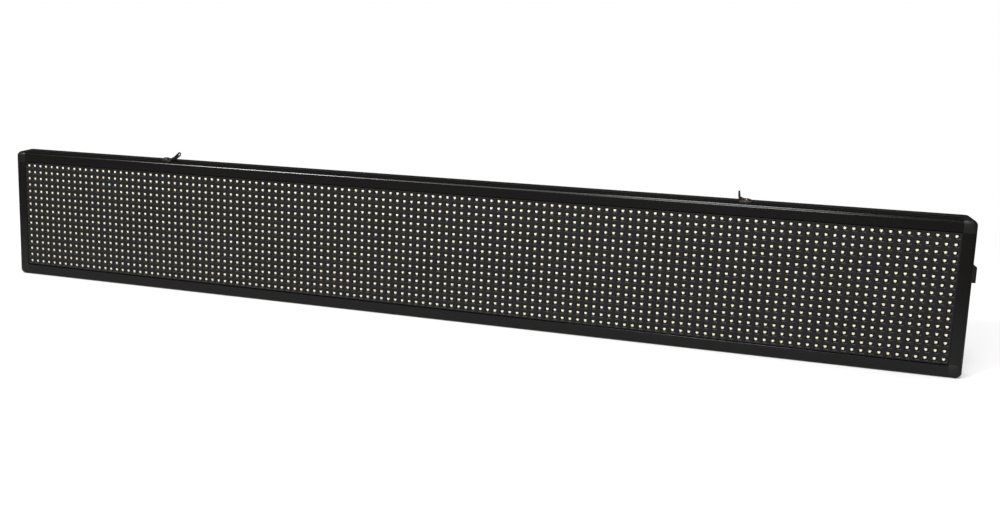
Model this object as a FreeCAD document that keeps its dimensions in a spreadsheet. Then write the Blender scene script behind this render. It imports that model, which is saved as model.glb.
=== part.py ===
import FreeCAD, Part
import math
import os
import Sketcher

doc = FreeCAD.newDocument("led_display_panel")

# Driving dimensions, in millimetres and plain counts
SIZES = (
    # light field
    ("pitch", 10, "lamp centre to lamp centre"),
    ("columns", 32, "lamps along one module"),
    ("rows", 16, "lamps up one module"),
    ("modules", 4, "modules side by side"),
    ("seam", 0.4, "gap between two masks"),
    ("lamp_side", 3.2, "lamp width and height in the window"),
    ("lamp_rise", 1.6, "lamp standing off its board"),
    # module sandwich
    ("mask_thick", 3.4, "mask plate, front to back"),
    ("window_front", 7, "height of a lamp row's opening at the mask's face"),
    ("window_throat", 4.8, "height of the same opening at the board"),
    ("board_thick", 1.6, "circuit board"),
    ("board_inset", 0.6, "board edge inside the mask's edge"),
    ("kit_depth", 8, "moulded frame behind the board"),
    ("kit_wall", 4, "rim and ribs of that frame"),
    ("kit_bays", 3, "open bays along that frame"),
    ("kit_levels", 2, "open bays up that frame"),
    ("insert_inset", 8, "module screw in from the module's edges"),
    ("insert_pad", 13, "solid corner that takes a module screw"),
    # aluminium frame
    ("bar_width", 15.5, "rail as seen from the front"),
    ("top_gap", 1, "dark line above and below the modules"),
    ("lip_stand", 1.2, "rail's face in front of the mask"),
    ("front_round", 4.8, "rail's front outer edge, and the outer corners"),
    ("rail_wall", 1.4, "wall of the extrusion"),
    ("groove_setback", 8.5, "accessory groove behind the front face"),
    ("groove_mouth", 6, "mouth of the groove"),
    ("groove_undercut", 2, "groove wider than its mouth, each side"),
    ("groove_neck", 1.4, "lips over the undercut"),
    ("groove_depth", 3.6, "groove floor below the rail's outside"),
    ("cover_lap", 7, "back cover over the rail's ledge"),
    ("cover_step", 1.4, "ledge below the rail's rear face"),
    # moulded corners
    ("corner_rise", 16.5, "corner's height in the front view"),
    ("tongue_long", 42, "tongue inside a rail"),
    ("tongue_fit", 0.15, "clearance round a tongue"),
    # folded crossbars
    ("strap_wide", 36, "width of a crossbar"),
    ("strap_thick", 1.5, "its sheet"),
    ("strap_bend", 1, "outside of its fold"),
    ("strap_tab", 11, "tab turned back along the rail"),
    ("strap_inset", 22, "end crossbars in from the side rails"),
    # back cover
    ("cover_thick", 1.2, "sheet"),
    ("cover_fit", 0.5, "cover's edge inside its seat"),
    ("vent_long", 32, "one vent slot"),
    ("vent_tall", 3, "its height"),
    ("vent_pitch", 8, "slot to slot"),
    ("vent_count", 4, "slots in a group"),
    ("vent_place", 480, "middle of a group from the panel's middle"),
    # hanging brackets
    ("hanger_place", 394, "inner face of an ear from the panel's middle"),
    ("hanger_sheet", 2, "thickness of foot and ear"),
    ("hanger_foot", 15, "foot along the rail"),
    ("hanger_deep", 17, "foot across the rail"),
    ("hanger_front", 7.5, "foot behind the panel's front"),
    ("ear_back", 12, "eye behind the foot"),
    ("ear_up", 6, "eye above the rail"),
    ("ear_round", 3.6, "radius of the tip"),
    ("eye_long", 7, "eye slot"),
    ("eye_tall", 3.4, "its height"),
    ("gusset_wide", 6, "stiffening web between foot and ear"),
    ("gusset_tall", 3, "its height on the ear"),
    ("slider_rise", 2, "sliding nut in the groove"),
    ("slider_fit", 0.3, "sliding nut clear of the groove's sides"),
    # power inlet on the right rail
    ("inlet_stand", 7, "inlet housing proud of the rail"),
    ("inlet_tall", 23.4, "its height"),
    ("inlet_deep", 15.5, "its size front to back"),
    ("inlet_front", 15, "its front behind the panel's front"),
    ("inlet_clear", 2.6, "its neck below the corner's tongue"),
    ("inlet_bevel", 4.2, "sloping top edge"),
    ("inlet_brim", 1, "upright part of that top edge"),
    ("neck_radius", 5.4, "neck through the rail, centre to corner"),
    ("neck_sides", 8, "flats that keep the neck from turning"),
    ("neck_inside", 7, "neck past the rail's inner wall"),
    ("neck_fit", 0.1, "clearance round the neck"),
    ("socket_radius", 2.85, "socket bore"),
    ("socket_deep", 12, "socket bore from the housing's face"),
    ("nut_across", 7.5, "hexagon nut, centre to corner"),
    ("nut_thick", 2.5, "hexagon nut"),
    # electronics behind the modules
    ("card_long", 96, "controller card"),
    ("card_tall", 72, "its height"),
    ("card_drop", 19.5, "its middle below the panel's middle"),
    ("card_place", 400, "its middle from the panel's middle"),
    ("post_long", 5, "card posts on the cover"),
    ("post_radius", 3, "hexagon post, centre to corner"),
    ("post_edge", 2, "post in from the card's edges"),
    ("card_clear", 1.2, "card's chips behind the ribbons"),
    ("chip_side", 14, "larger chips on the card"),
    ("chip_rise", 1.6, "their height"),
    ("terminal_inset", 6, "power terminal in from the card's left edge"),
    ("terminal_long", 12, "power terminal"),
    ("header_long", 28, "ribbon socket on a module board"),
    ("header_wide", 9, "its other side"),
    ("header_rise", 9, "its height off the board"),
    ("header_place", 100, "ribbon sockets from the module's middle"),
    ("ribbon_drop", 20, "ribbon sockets below the modules' middle"),
    ("plug_rise", 5, "ribbon plug above its socket"),
    ("ribbon_wide", 20, "flat cable"),
    ("ribbon_thick", 1, "flat cable"),
    ("power_place", 40, "power header from the module's middle"),
    ("power_drop", 48, "power leads below the modules' middle"),
    ("lead_side", 2.4, "power lead's wire"),
    ("lead_gap", 5, "its two wires apart"),
    ("lead_stand", 3.1, "power leads clear of the crossbars"),
    ("lead_bend", 8, "bend radius of a lead"),
    ("lead_turn", 24, "where the leads turn up, in from the side rail"),
    # screws
    ("head_radius", 2.9, "screw head, centre to corner"),
    ("head_rise", 1.8, "screw head"),
    ("head_sides", 6, "flats of a head"),
    ("shank_radius", 1.5, "tapping screw, centre to corner"),
    ("shank_sides", 4, "flats of a shank"),
    ("shank_long", 6, "tapping screw"),
    ("cover_screw_pitch", 480, "cover screws along the rails"),
    ("cover_screw_count", 3, "cover screws on each long side"),
    ("bolt_head_radius", 3.6, "hanger bolt"),
    ("bolt_head_rise", 2.6, "hanger bolt"),
    ("bolt_head_sides", 12, "flats of that head"),
    ("bolt_radius", 2.2, "hanger bolt's shank, centre to corner"),
    ("bolt_sides", 6, "flats of that shank and its holes"),
)

sheet = doc.addObject("Spreadsheet::Sheet", "sizes")
for row, (alias, number, note) in enumerate(SIZES, 1):
    sheet.set(f"A{row}", alias)
    sheet.set(f"B{row}", str(number))
    sheet.set(f"C{row}", note)
    sheet.setAlias(f"B{row}", alias)
doc.recompute()

nodes = {}


def size(alias):
    return float(sheet.get(alias))


def worked_out(text):
    return float(sheet.evalExpression(text))


# Places that follow from the sizes: x along the panel, y to the back, z up
MODULE_LONG = "(sizes.pitch * sizes.columns)"
MODULE_TALL = "(sizes.pitch * sizes.rows)"
FIELD_LONG = f"({MODULE_LONG} * sizes.modules)"
HALF_FIELD = f"({FIELD_LONG} / 2)"
OPENING = f"({MODULE_TALL} + 2 * sizes.top_gap)"
TOP = f"({OPENING} + 2 * sizes.bar_width)"
CARD_ROOM = "(sizes.card_clear + sizes.chip_rise + sizes.board_thick + sizes.post_long)"
WIRE_ROOM = "(sizes.header_rise + sizes.plug_rise + sizes.ribbon_thick)"
FACE_ROOM = "(sizes.lip_stand + sizes.mask_thick + sizes.board_thick)"
DEPTH = f"({FACE_ROOM} + {WIRE_ROOM} + {CARD_ROOM} + sizes.cover_step)"
FRONT = f"(-{DEPTH} / 2)"
REAR = f"({DEPTH} / 2)"
MASK_FACE = f"({FRONT} + sizes.lip_stand)"
BOARD_FACE = f"({MASK_FACE} + sizes.mask_thick)"
BOARD_BACK = f"({BOARD_FACE} + sizes.board_thick)"
KIT_BACK = f"({BOARD_BACK} + sizes.kit_depth)"
STRAP_BACK = f"({KIT_BACK} + sizes.strap_thick)"
LEDGE = f"({REAR} - sizes.cover_step)"
NECK_Y = f"({FRONT} + sizes.inlet_front + sizes.inlet_deep / 2)"
NECK_Z = f"({TOP} - sizes.corner_rise - sizes.tongue_long - sizes.inlet_clear - sizes.neck_radius)"


def name_node(thing, label):
    thing.Label = label
    nodes[label] = thing
    return thing


def bind(thing, **expressions):
    for prop, text in expressions.items():
        thing.setExpression(prop, text)


def place(thing, x="0", y="0", z="0"):
    for axis, text in (("x", x), ("y", y), ("z", z)):
        thing.setExpression(f"Placement.Base.{axis}", text)


def new_body(label):
    return doc.addObject("PartDesign::Body", label)


def flat_sketch(body, label, plane):
    sketch = body.newObject("Sketcher::SketchObject", label)
    support = [f for f in body.Origin.OriginFeatures if f.Role == plane][0]
    sketch.AttachmentSupport = [(support, "")]
    sketch.MapMode = "FlatFace"
    return sketch


def outline(sketch, corners):
    spots = [FreeCAD.Vector(worked_out(x), worked_out(y), 0) for x, y in corners]
    first = sketch.GeometryCount
    count = len(spots)
    for here, there in zip(spots, spots[1:] + spots[:1]):
        sketch.addGeometry(Part.LineSegment(here, there), False)
    for side in range(count):
        follower = first + (side + 1) % count
        sketch.addConstraint(Sketcher.Constraint("Coincident", first + side, 2, follower, 1))
    for side, (corner, spot) in enumerate(zip(corners, spots)):
        for kind, axis, text, value in (
            ("DistanceX", -2, corner[0], spot.x),
            ("DistanceY", -1, corner[1], spot.y),
        ):
            if text == "0":
                sketch.addConstraint(Sketcher.Constraint("PointOnObject", first + side, 1, axis))
            else:
                index = sketch.addConstraint(Sketcher.Constraint(kind, -1, 1, first + side, 1, value))
                sketch.setExpression(f"Constraints[{index}]", text)


def pad(body, sketch, length, backwards=False):
    solid = body.newObject("PartDesign::Pad", sketch.Name + "_pad")
    solid.Profile = sketch
    solid.Reversed = backwards
    bind(solid, Length=length)
    return solid


def box_feature(body, kind, label, low, span):
    box = body.newObject(f"PartDesign::{kind}Box", label)
    bind(box, Length=span[0], Width=span[1], Height=span[2])
    place(box, *low)
    return box


def dress(body, kind, wanted):
    doc.recompute()
    base = body.Tip
    names = [f"Edge{i}" for i, edge in enumerate(base.Shape.Edges, 1) if wanted(edge)]
    dressing = body.newObject(f"PartDesign::{kind}", f"{body.Name}_{kind.lower()}")
    dressing.Base = (base, names)
    return dressing


def round_edges(body, radius, wanted):
    bind(dress(body, "Fillet", wanted), Radius=radius)


def bevel_edges(body, width, wanted):
    bind(dress(body, "Chamfer", wanted), Size=width)


def along(edge, axis):
    ends = [vertex.Point for vertex in edge.Vertexes]
    if len(ends) < 2:
        return False
    step = ends[1] - ends[0]
    return abs(abs(step[axis]) - step.Length) < 1e-6


def near(value, target):
    return abs(value - target) < 1e-4


# Rails: one extrusion, cut to four lengths
def rail(label, length):
    depth = DEPTH
    bar = "sizes.bar_width"
    wall = "sizes.rail_wall"
    mouth_front = "sizes.groove_setback"
    mouth_rear = "sizes.groove_setback + sizes.groove_mouth"
    groove_front = f"{mouth_front} - sizes.groove_undercut"
    groove_rear = f"{mouth_rear} + sizes.groove_undercut"
    neck = f"{bar} - sizes.groove_neck"
    floor = f"{bar} - sizes.groove_depth"
    ledge = f"{depth} - sizes.cover_step"
    body = new_body(label + "_bar")
    section = flat_sketch(body, label + "_section", "YZ_Plane")
    outline(section, (
        ("0", "0"),
        ("0", bar),
        (mouth_front, bar),
        (mouth_front, neck),
        (groove_front, neck),
        (groove_front, floor),
        (groove_rear, floor),
        (groove_rear, neck),
        (mouth_rear, neck),
        (mouth_rear, bar),
        (depth, bar),
        (depth, "sizes.cover_lap"),
        (ledge, "sizes.cover_lap"),
        (ledge, "0"),
    ))
    outline(section, (
        (wall, wall),
        (f"{ledge} - {wall}", wall),
        (f"{ledge} - {wall}", f"sizes.cover_lap + {wall}"),
        (f"{depth} - {wall}", f"sizes.cover_lap + {wall}"),
        (f"{depth} - {wall}", f"{bar} - {wall}"),
        (f"{groove_rear} + {wall}", f"{bar} - {wall}"),
        (f"{groove_rear} + {wall}", f"{floor} - {wall}"),
        (f"{groove_front} - {wall}", f"{floor} - {wall}"),
        (f"{groove_front} - {wall}", f"{bar} - {wall}"),
        ("sizes.front_round", f"{bar} - {wall}"),
        (wall, f"{bar} - sizes.front_round"),
    ))
    pad(body, section, length)

    def outer_front(edge):
        middle = edge.CenterOfMass
        return along(edge, 0) and near(middle.y, 0) and near(middle.z, size("bar_width"))

    round_edges(body, "sizes.front_round", outer_front)
    return body


def turned(body, degrees):
    body.Placement.Rotation = FreeCAD.Rotation(FreeCAD.Vector(0, 1, 0), degrees)


half_field = worked_out(HALF_FIELD)
module_long = worked_out(MODULE_LONG)
module_tall = worked_out(MODULE_TALL)
front = worked_out(FRONT)
top = worked_out(TOP)
field_low = (top - module_tall) / 2
inner_low = size("bar_width")
inner_high = top - size("bar_width")
ledge_y = worked_out(LEDGE)
board_face = worked_out(BOARD_FACE)
board_back = worked_out(BOARD_BACK)
kit_back = worked_out(KIT_BACK)
strap_back = worked_out(STRAP_BACK)
shank = size("shank_radius")
BACKWARD = (0, 1, 0)
FORWARD = (0, -1, 0)
RIGHT = (1, 0, 0)
UP = (0, 0, 1)
DOWN = (0, 0, -1)
module_lefts = [-half_field + module_long * k for k in range(int(size("modules")))]


# Where the screws go: points under the heads
def module_screw_spots():
    inset = size("insert_inset")
    spots = []
    for left in module_lefts:
        spots.append((left + inset, strap_back, field_low + module_tall - inset))
        spots.append((left + module_long - inset, strap_back, field_low + inset))
    return spots


def cover_screw_spots(end):
    count = int(size("cover_screw_count"))
    level = inner_high + size("cover_lap") / 2 if end > 0 else inner_low - size("cover_lap") / 2
    first = -size("cover_screw_pitch") * (count - 1) / 2
    return [
        (first + size("cover_screw_pitch") * k, ledge_y + size("cover_thick"), level)
        for k in range(count)
    ]


def hanger_bolt_spots():
    out = size("hanger_place") + (size("hanger_foot") + size("hanger_sheet")) / 2
    groove = front + size("groove_setback") + size("groove_mouth") / 2
    return [(side * out, groove, top + size("hanger_sheet")) for side in (-1, 1)]


def round_peg(spot, axis, radius, length):
    return Part.makeCylinder(radius, length, FreeCAD.Vector(*spot), FreeCAD.Vector(*axis))


def flat_peg(spot, axis, radius, length, sides):
    sides = int(sides)
    way = FreeCAD.Vector(*axis)
    turn = FreeCAD.Rotation(FreeCAD.Vector(0, 0, 1), way)
    start = math.pi / sides
    ring = [
        FreeCAD.Vector(*spot) + turn.multVec(FreeCAD.Vector(radius * math.cos(start + step),
                                                            radius * math.sin(start + step), 0))
        for step in (2 * math.pi * k / sides for k in range(sides))
    ]
    return Part.Face(Part.makePolygon(ring + ring[:1])).extrude(way * length)


def group(label, shapes):
    cluster = doc.addObject("Part::Feature", label)
    cluster.Shape = Part.makeCompound(shapes)
    return cluster


def drilled(label, solid, pegs):
    cut = doc.addObject("Part::Cut", label + "_drilled")
    cut.Base = solid
    cut.Tool = group(label + "_holes", pegs)
    return cut


def screw_holes(spots):
    return [flat_peg(spot, FORWARD, shank, size("shank_long"), size("shank_sides")) for spot in spots]


def screws(label, spots):
    made = []
    for spot, hole in zip(spots, screw_holes(spots)):
        cap = flat_peg(spot, BACKWARD, size("head_radius"), size("head_rise"), size("head_sides"))
        made.append(cap.fuse(hole).removeSplitter())
    name_node(group(label, made), label)


def copy_at(label, master, x="0", y="0", z="0"):
    twin = doc.addObject("Part::Compound", label + "_placed")
    twin.Links = [master]
    place(twin, x, y, z)
    return twin


def mirrored(label, master, normal, z="0"):
    twin = doc.addObject("Part::Mirroring", label)
    twin.Source = master
    twin.Normal = FreeCAD.Vector(*normal)
    twin.Base = FreeCAD.Vector(0, 0, worked_out(z))
    return twin


def box(label, low, span):
    block = doc.addObject("Part::Box", label)
    bind(block, Length=span[0], Width=span[1], Height=span[2])
    place(block, *low)
    return block


def fused(label, parts):
    whole = doc.addObject("Part::MultiFuse", label + "_fused")
    whole.Shapes = parts
    whole.Refine = True
    return whole


# Four rails
def make_rails():
    side_long = f"({TOP} - 2 * sizes.corner_rise)"
    top_bar = rail("top_rail", FIELD_LONG)
    place(top_bar, f"-{HALF_FIELD}", FRONT, f"{TOP} - sizes.bar_width")
    bottom_bar = rail("bottom_rail", FIELD_LONG)
    turned(bottom_bar, 180)
    place(bottom_bar, HALF_FIELD, FRONT, "sizes.bar_width")
    right_bar = rail("right_rail", side_long)
    turned(right_bar, 90)
    place(right_bar, HALF_FIELD, FRONT, f"{TOP} - sizes.corner_rise")
    left_bar = rail("left_rail", side_long)
    turned(left_bar, -90)
    place(left_bar, f"-{HALF_FIELD}", FRONT, "sizes.corner_rise")
    name_node(drilled("top_rail", top_bar, screw_holes(cover_screw_spots(1))), "top_rail")
    name_node(drilled("bottom_rail", bottom_bar, screw_holes(cover_screw_spots(-1))), "bottom_rail")
    name_node(left_bar, "left_rail")
    bore = (half_field, worked_out(NECK_Y), worked_out(NECK_Z))
    neck = flat_peg(bore, RIGHT, size("neck_radius") + size("neck_fit"), size("bar_width"), size("neck_sides"))
    name_node(drilled("right_rail", right_bar, [neck]), "right_rail")


# Moulded corner: a rounded block with two tongues that plug into the rails
def make_corners():
    wall = "sizes.rail_wall"
    fit = "sizes.tongue_fit"
    snug = f"({wall} + {fit})"
    body = new_body("corner")
    box_feature(body, "Additive", "corner_block",
                (HALF_FIELD, FRONT, f"{TOP} - sizes.corner_rise"),
                ("sizes.bar_width", DEPTH, "sizes.corner_rise"))
    outer_x = half_field + size("bar_width")

    def outside(edge):
        middle = edge.CenterOfMass
        at_top = near(middle.z, top)
        at_side = near(middle.x, outer_x)
        return at_top and at_side or near(middle.y, front) and (at_top or at_side)

    round_edges(body, "sizes.front_round", outside)
    deep = f"{DEPTH} - sizes.cover_step - 2 * {snug}"
    thick = f"sizes.bar_width - sizes.groove_depth - 2 * {snug}"
    box_feature(body, "Additive", "tongue_along",
                (f"{HALF_FIELD} - sizes.tongue_long", f"{FRONT} + {snug}",
                 f"{TOP} - sizes.bar_width + {snug}"),
                ("sizes.tongue_long", deep, thick))
    box_feature(body, "Additive", "tongue_down",
                (f"{HALF_FIELD} + {snug}", f"{FRONT} + {snug}",
                 f"{TOP} - sizes.corner_rise - sizes.tongue_long"),
                (thick, deep, "sizes.tongue_long"))
    name_node(body, "corner_upper_right")
    upper_left = mirrored("corner_upper_left", body, (1, 0, 0))
    name_node(upper_left, "corner_upper_left")
    middle = f"{TOP} / 2"
    name_node(mirrored("corner_lower_right", body, UP, middle), "corner_lower_right")
    name_node(mirrored("corner_lower_left", upper_left, UP, middle), "corner_lower_left")


# Mask: a plate with one flared opening for each row of lamps
def make_mask():
    body = new_body("mask")
    box_feature(body, "Additive", "mask_plate",
                ("sizes.seam / 2", MASK_FACE, "sizes.seam / 2"),
                (f"{MODULE_LONG} - sizes.seam", "sizes.mask_thick", f"{MODULE_TALL} - sizes.seam"))
    row = body.newObject("PartDesign::SubtractiveWedge", "lamp_row")
    margin_front = "(sizes.pitch - sizes.window_front) / 2"
    margin_rear = "(sizes.pitch - sizes.window_throat) / 2"
    bind(row,
         Ymin=MASK_FACE, Ymax=BOARD_FACE,
         Xmin=margin_front, Xmax=f"{MODULE_LONG} - {margin_front}",
         Zmin=margin_front, Zmax=f"sizes.pitch - {margin_front}",
         X2min=margin_rear, X2max=f"{MODULE_LONG} - {margin_rear}",
         Z2min=margin_rear, Z2max=f"sizes.pitch - {margin_rear}")
    repeat_up(body, row, "sizes.pitch * (sizes.rows - 1)", "sizes.rows")
    return body


def repeat_up(body, feature, length, count):
    doc.recompute()
    pattern = body.newObject("PartDesign::LinearPattern", feature.Name + "_rows")
    pattern.Originals = [feature]
    upright = [f for f in body.Origin.OriginFeatures if f.Role == "Z_Axis"][0]
    pattern.Direction = (upright, [""])
    bind(pattern, Length=length, Occurrences=count)
    body.Tip = pattern
    return pattern


# Lamp: four faces that show as the flat-topped shield seen in each opening
def one_lamp(x, y, z):
    half = size("lamp_side") / 2
    left = FreeCAD.Vector(x - half, y, z + half)
    right = FreeCAD.Vector(x + half, y, z + half)
    foot = FreeCAD.Vector(x, y, z - half)
    tip = FreeCAD.Vector(x, y - size("lamp_rise"), z)
    rims = ((left, right, foot), (left, tip, right), (right, tip, foot), (foot, tip, left))
    faces = [Part.Face(Part.makePolygon([a, b, c, a])) for a, b, c in rims]
    return Part.Solid(Part.Shell(faces))


def make_lamps():
    pitch = size("pitch")
    lamp = one_lamp(pitch / 2, board_face, pitch / 2)
    lamps = [
        lamp.translated(FreeCAD.Vector(column * pitch, 0, row * pitch))
        for row in range(int(size("rows")))
        for column in range(int(size("columns")))
    ]
    return group("lamp_field", lamps)


# Moulded frame behind each board: rim, ribs and screw bosses
def make_kit():
    inset = "sizes.board_inset"
    wall = "sizes.kit_wall"
    body = new_body("kit")
    inner_long = f"({MODULE_LONG} - 2 * {inset})"
    inner_tall = f"({MODULE_TALL} - 2 * {inset})"
    box_feature(body, "Additive", "kit_plate",
                (inset, BOARD_BACK, inset), (inner_long, "sizes.kit_depth", inner_tall))
    bay_long = f"(({inner_long} - {wall}) / sizes.kit_bays - {wall})"
    bay_tall = f"(({inner_tall} - {wall}) / sizes.kit_levels - {wall})"
    for bay in range(int(size("kit_bays"))):
        for level in range(int(size("kit_levels"))):
            box_feature(body, "Subtractive", f"bay_{bay}_{level}",
                        (f"{inset} + {wall} + {bay} * ({bay_long} + {wall})", BOARD_BACK,
                         f"{inset} + {wall} + {level} * ({bay_tall} + {wall})"),
                        (bay_long, "sizes.kit_depth", bay_tall))
    far_x = f"{MODULE_LONG} - {inset} - sizes.insert_pad"
    far_z = f"{MODULE_TALL} - {inset} - sizes.insert_pad"
    for place_x, x in enumerate((inset, far_x)):
        for place_z, z in enumerate((inset, far_z)):
            box_feature(body, "Additive", f"pad_{place_x}_{place_z}", (x, BOARD_BACK, z),
                        ("sizes.insert_pad", "sizes.kit_depth", "sizes.insert_pad"))
    doc.recompute()
    first_module = [
        (x + half_field, y, z - field_low) for x, y, z in module_screw_spots()
        if x < module_lefts[0] + module_long
    ]
    return drilled("kit", body, screw_holes(first_module))


def make_modules():
    mask = make_mask()
    lamps = make_lamps()
    board = box("board", ("sizes.board_inset", BOARD_FACE, "sizes.board_inset"),
                (f"{MODULE_LONG} - 2 * sizes.board_inset", "sizes.board_thick",
                 f"{MODULE_TALL} - 2 * sizes.board_inset"))
    kit = make_kit()
    level = f"({TOP} - {MODULE_TALL}) / 2"
    for index in range(len(module_lefts)):
        x = f"{MODULE_LONG} * {index} - {HALF_FIELD}"
        for name, master in (("mask", mask), ("lamps", lamps), ("board", board), ("module_frame", kit)):
            label = f"{name}_{index + 1}"
            name_node(copy_at(label, master, x, "0", level), label)
    screws("module_screws", module_screw_spots())


# Crossbars: sheet straps with a tab folded back at each end
def make_crossbars():
    thick = "sizes.strap_thick"
    low = "sizes.bar_width"
    high = f"({TOP} - sizes.bar_width)"
    rim = f"({KIT_BACK} + sizes.strap_tab)"
    body = new_body("crossbar")
    section = flat_sketch(body, "crossbar_section", "YZ_Plane")
    outline(section, (
        (KIT_BACK, low),
        (rim, low),
        (rim, f"{low} + {thick}"),
        (STRAP_BACK, f"{low} + {thick}"),
        (STRAP_BACK, f"{high} - {thick}"),
        (rim, f"{high} - {thick}"),
        (rim, high),
        (KIT_BACK, high),
    ))
    pad(body, section, "sizes.strap_wide")

    def bend(edge):
        middle = edge.CenterOfMass
        at_end = near(middle.z, inner_low) or near(middle.z, inner_high)
        return along(edge, 0) and near(middle.y, kit_back) and at_end

    bevel_edges(body, "sizes.strap_bend", bend)
    half = size("strap_wide") / 2
    ends = ("sizes.strap_inset - " + HALF_FIELD, HALF_FIELD + " - sizes.strap_inset")
    middles = [f"{MODULE_LONG} * {k} - {HALF_FIELD}" for k in range(1, len(module_lefts))]
    for index, x in enumerate([ends[0]] + middles + [ends[1]], 1):
        centre = worked_out(x)
        own = [spot for spot in module_screw_spots() if abs(spot[0] - centre) < half]
        label = f"crossbar_{index}"
        strap = copy_at(label, body, f"{x} - sizes.strap_wide / 2")
        name_node(drilled(label, strap, screw_holes(own)), label)


# Back cover: a flat sheet on the rails' ledge, notched round the corners, with two groups of vents
def make_cover():
    body = new_body("cover")
    fit = "sizes.cover_fit"
    reach = f"({HALF_FIELD} + sizes.cover_lap - {fit})"
    inner = f"({HALF_FIELD} - {fit})"
    low = f"(sizes.bar_width - sizes.cover_lap + {fit})"
    high = f"({TOP} - {low})"
    notch_low = f"(sizes.corner_rise + {fit})"
    notch_high = f"({TOP} - {notch_low})"
    section = flat_sketch(body, "cover_outline", "XZ_Plane")
    outline(section, (
        (f"-{inner}", low),
        (inner, low),
        (inner, notch_low),
        (reach, notch_low),
        (reach, notch_high),
        (inner, notch_high),
        (inner, high),
        (f"-{inner}", high),
        (f"-{inner}", notch_high),
        (f"-{reach}", notch_high),
        (f"-{reach}", notch_low),
        (f"-{inner}", notch_low),
    ))
    section.AttachmentOffset = FreeCAD.Placement()
    section.setExpression("AttachmentOffset.Base.z", f"-{LEDGE}")
    pad(body, section, "sizes.cover_thick", True)
    first = f"{TOP} / 2 - sizes.vent_pitch * (sizes.vent_count - 1) / 2 - sizes.vent_tall / 2"
    for index, side in enumerate(("-", "")):
        slot = box_feature(body, "Subtractive", f"vent_{index}",
                           (f"{side}sizes.vent_place - sizes.vent_long / 2", LEDGE, first),
                           ("sizes.vent_long", "sizes.cover_thick", "sizes.vent_tall"))
        repeat_up(body, slot, "sizes.vent_pitch * (sizes.vent_count - 1)", "sizes.vent_count")
    doc.recompute()
    spots = cover_screw_spots(1) + cover_screw_spots(-1)
    name_node(drilled("back_cover", body, screw_holes(spots)), "back_cover")
    screws("cover_screws", spots)


# Hanging bracket: a foot on the rail, and an ear that leans back with a slotted eye
def make_hangers():
    lean = "atan(sizes.ear_up / (sizes.ear_back + sizes.hanger_deep / 2))"
    start = f"({FRONT} + sizes.hanger_front)"
    foot_end = f"({start} + sizes.hanger_deep)"
    eye_y = f"({foot_end} + sizes.ear_back)"
    eye_z = f"({TOP} + sizes.ear_up)"
    sine = f"sizes.ear_round * sin({lean})"
    cosine = f"sizes.ear_round * cos({lean})"
    body = new_body("hanger")
    side = flat_sketch(body, "ear_outline", "YZ_Plane")
    side.setExpression("AttachmentOffset.Base.z", "sizes.hanger_place")
    outline(side, (
        (start, TOP),
        (foot_end, TOP),
        (f"{eye_y} + {cosine} + {sine}", f"{eye_z} + {sine} - {cosine}"),
        (f"{eye_y} + {cosine} - {sine}", f"{eye_z} + {sine} + {cosine}"),
    ))
    pad(body, side, "sizes.hanger_sheet")
    tip_y = worked_out(eye_y)
    round_edges(body, "sizes.ear_round * 0.85",
                lambda e: along(e, 0) and e.CenterOfMass.y > tip_y)
    box_feature(body, "Additive", "foot", ("sizes.hanger_place", start, TOP),
                ("sizes.hanger_foot", "sizes.hanger_deep", "sizes.hanger_sheet"))
    outside = "(sizes.hanger_place + sizes.hanger_sheet)"
    level = f"({TOP} + sizes.hanger_sheet)"
    web = flat_sketch(body, "gusset_outline", "XZ_Plane")
    web.setExpression("AttachmentOffset.Base.z", f"sizes.hanger_sheet - {foot_end}")
    outline(web, (
        (outside, level),
        (f"{outside} + sizes.gusset_wide", level),
        (outside, f"{level} + sizes.gusset_tall"),
    ))
    pad(body, web, "sizes.hanger_sheet", True)
    doc.recompute()
    half_slot = (size("eye_long") - size("eye_tall")) / 2
    radius = size("eye_tall") / 2
    angle = worked_out(lean)
    centre = FreeCAD.Vector(size("hanger_place"), worked_out(eye_y), worked_out(eye_z))
    eye = Part.makeBox(size("hanger_sheet"), 2 * half_slot, 2 * radius,
                       FreeCAD.Vector(0, -half_slot, -radius))
    for shift in (-half_slot, half_slot):
        eye = eye.fuse(Part.makeCylinder(radius, size("hanger_sheet"),
                                         FreeCAD.Vector(0, shift, 0), FreeCAD.Vector(1, 0, 0)))
    eye.rotate(FreeCAD.Vector(), FreeCAD.Vector(1, 0, 0), angle)
    eye.translate(centre)
    bolts = hanger_bolt_spots()
    neck = flat_peg(bolts[1], DOWN, size("bolt_radius"), size("hanger_sheet"), size("bolt_sides"))
    right = drilled("hanger_right", body, [eye, neck])
    name_node(right, "hanger_right")
    name_node(mirrored("hanger_left", right, (1, 0, 0)), "hanger_left")
    grip = size("hanger_sheet") + size("groove_neck") + size("slider_rise")
    wide = size("groove_mouth") + 2 * size("groove_undercut") - 2 * size("slider_fit")
    low = top - size("groove_neck") - size("slider_rise")
    made = []
    sliders = []
    for x, y, z in bolts:
        stem = flat_peg((x, y, z), DOWN, size("bolt_radius"), grip, size("bolt_sides"))
        cap = flat_peg((x, y, z), UP, size("bolt_head_radius"), size("bolt_head_rise"), size("bolt_head_sides"))
        made.append(cap.fuse(stem).removeSplitter())
        block = Part.makeBox(wide, wide, size("slider_rise"), FreeCAD.Vector(x - wide / 2, y - wide / 2, low))
        sliders.append(block.cut(stem))
    name_node(group("hanger_bolts", made), "hanger_bolts")
    name_node(group("hanger_nuts", sliders), "hanger_nuts")


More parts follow.
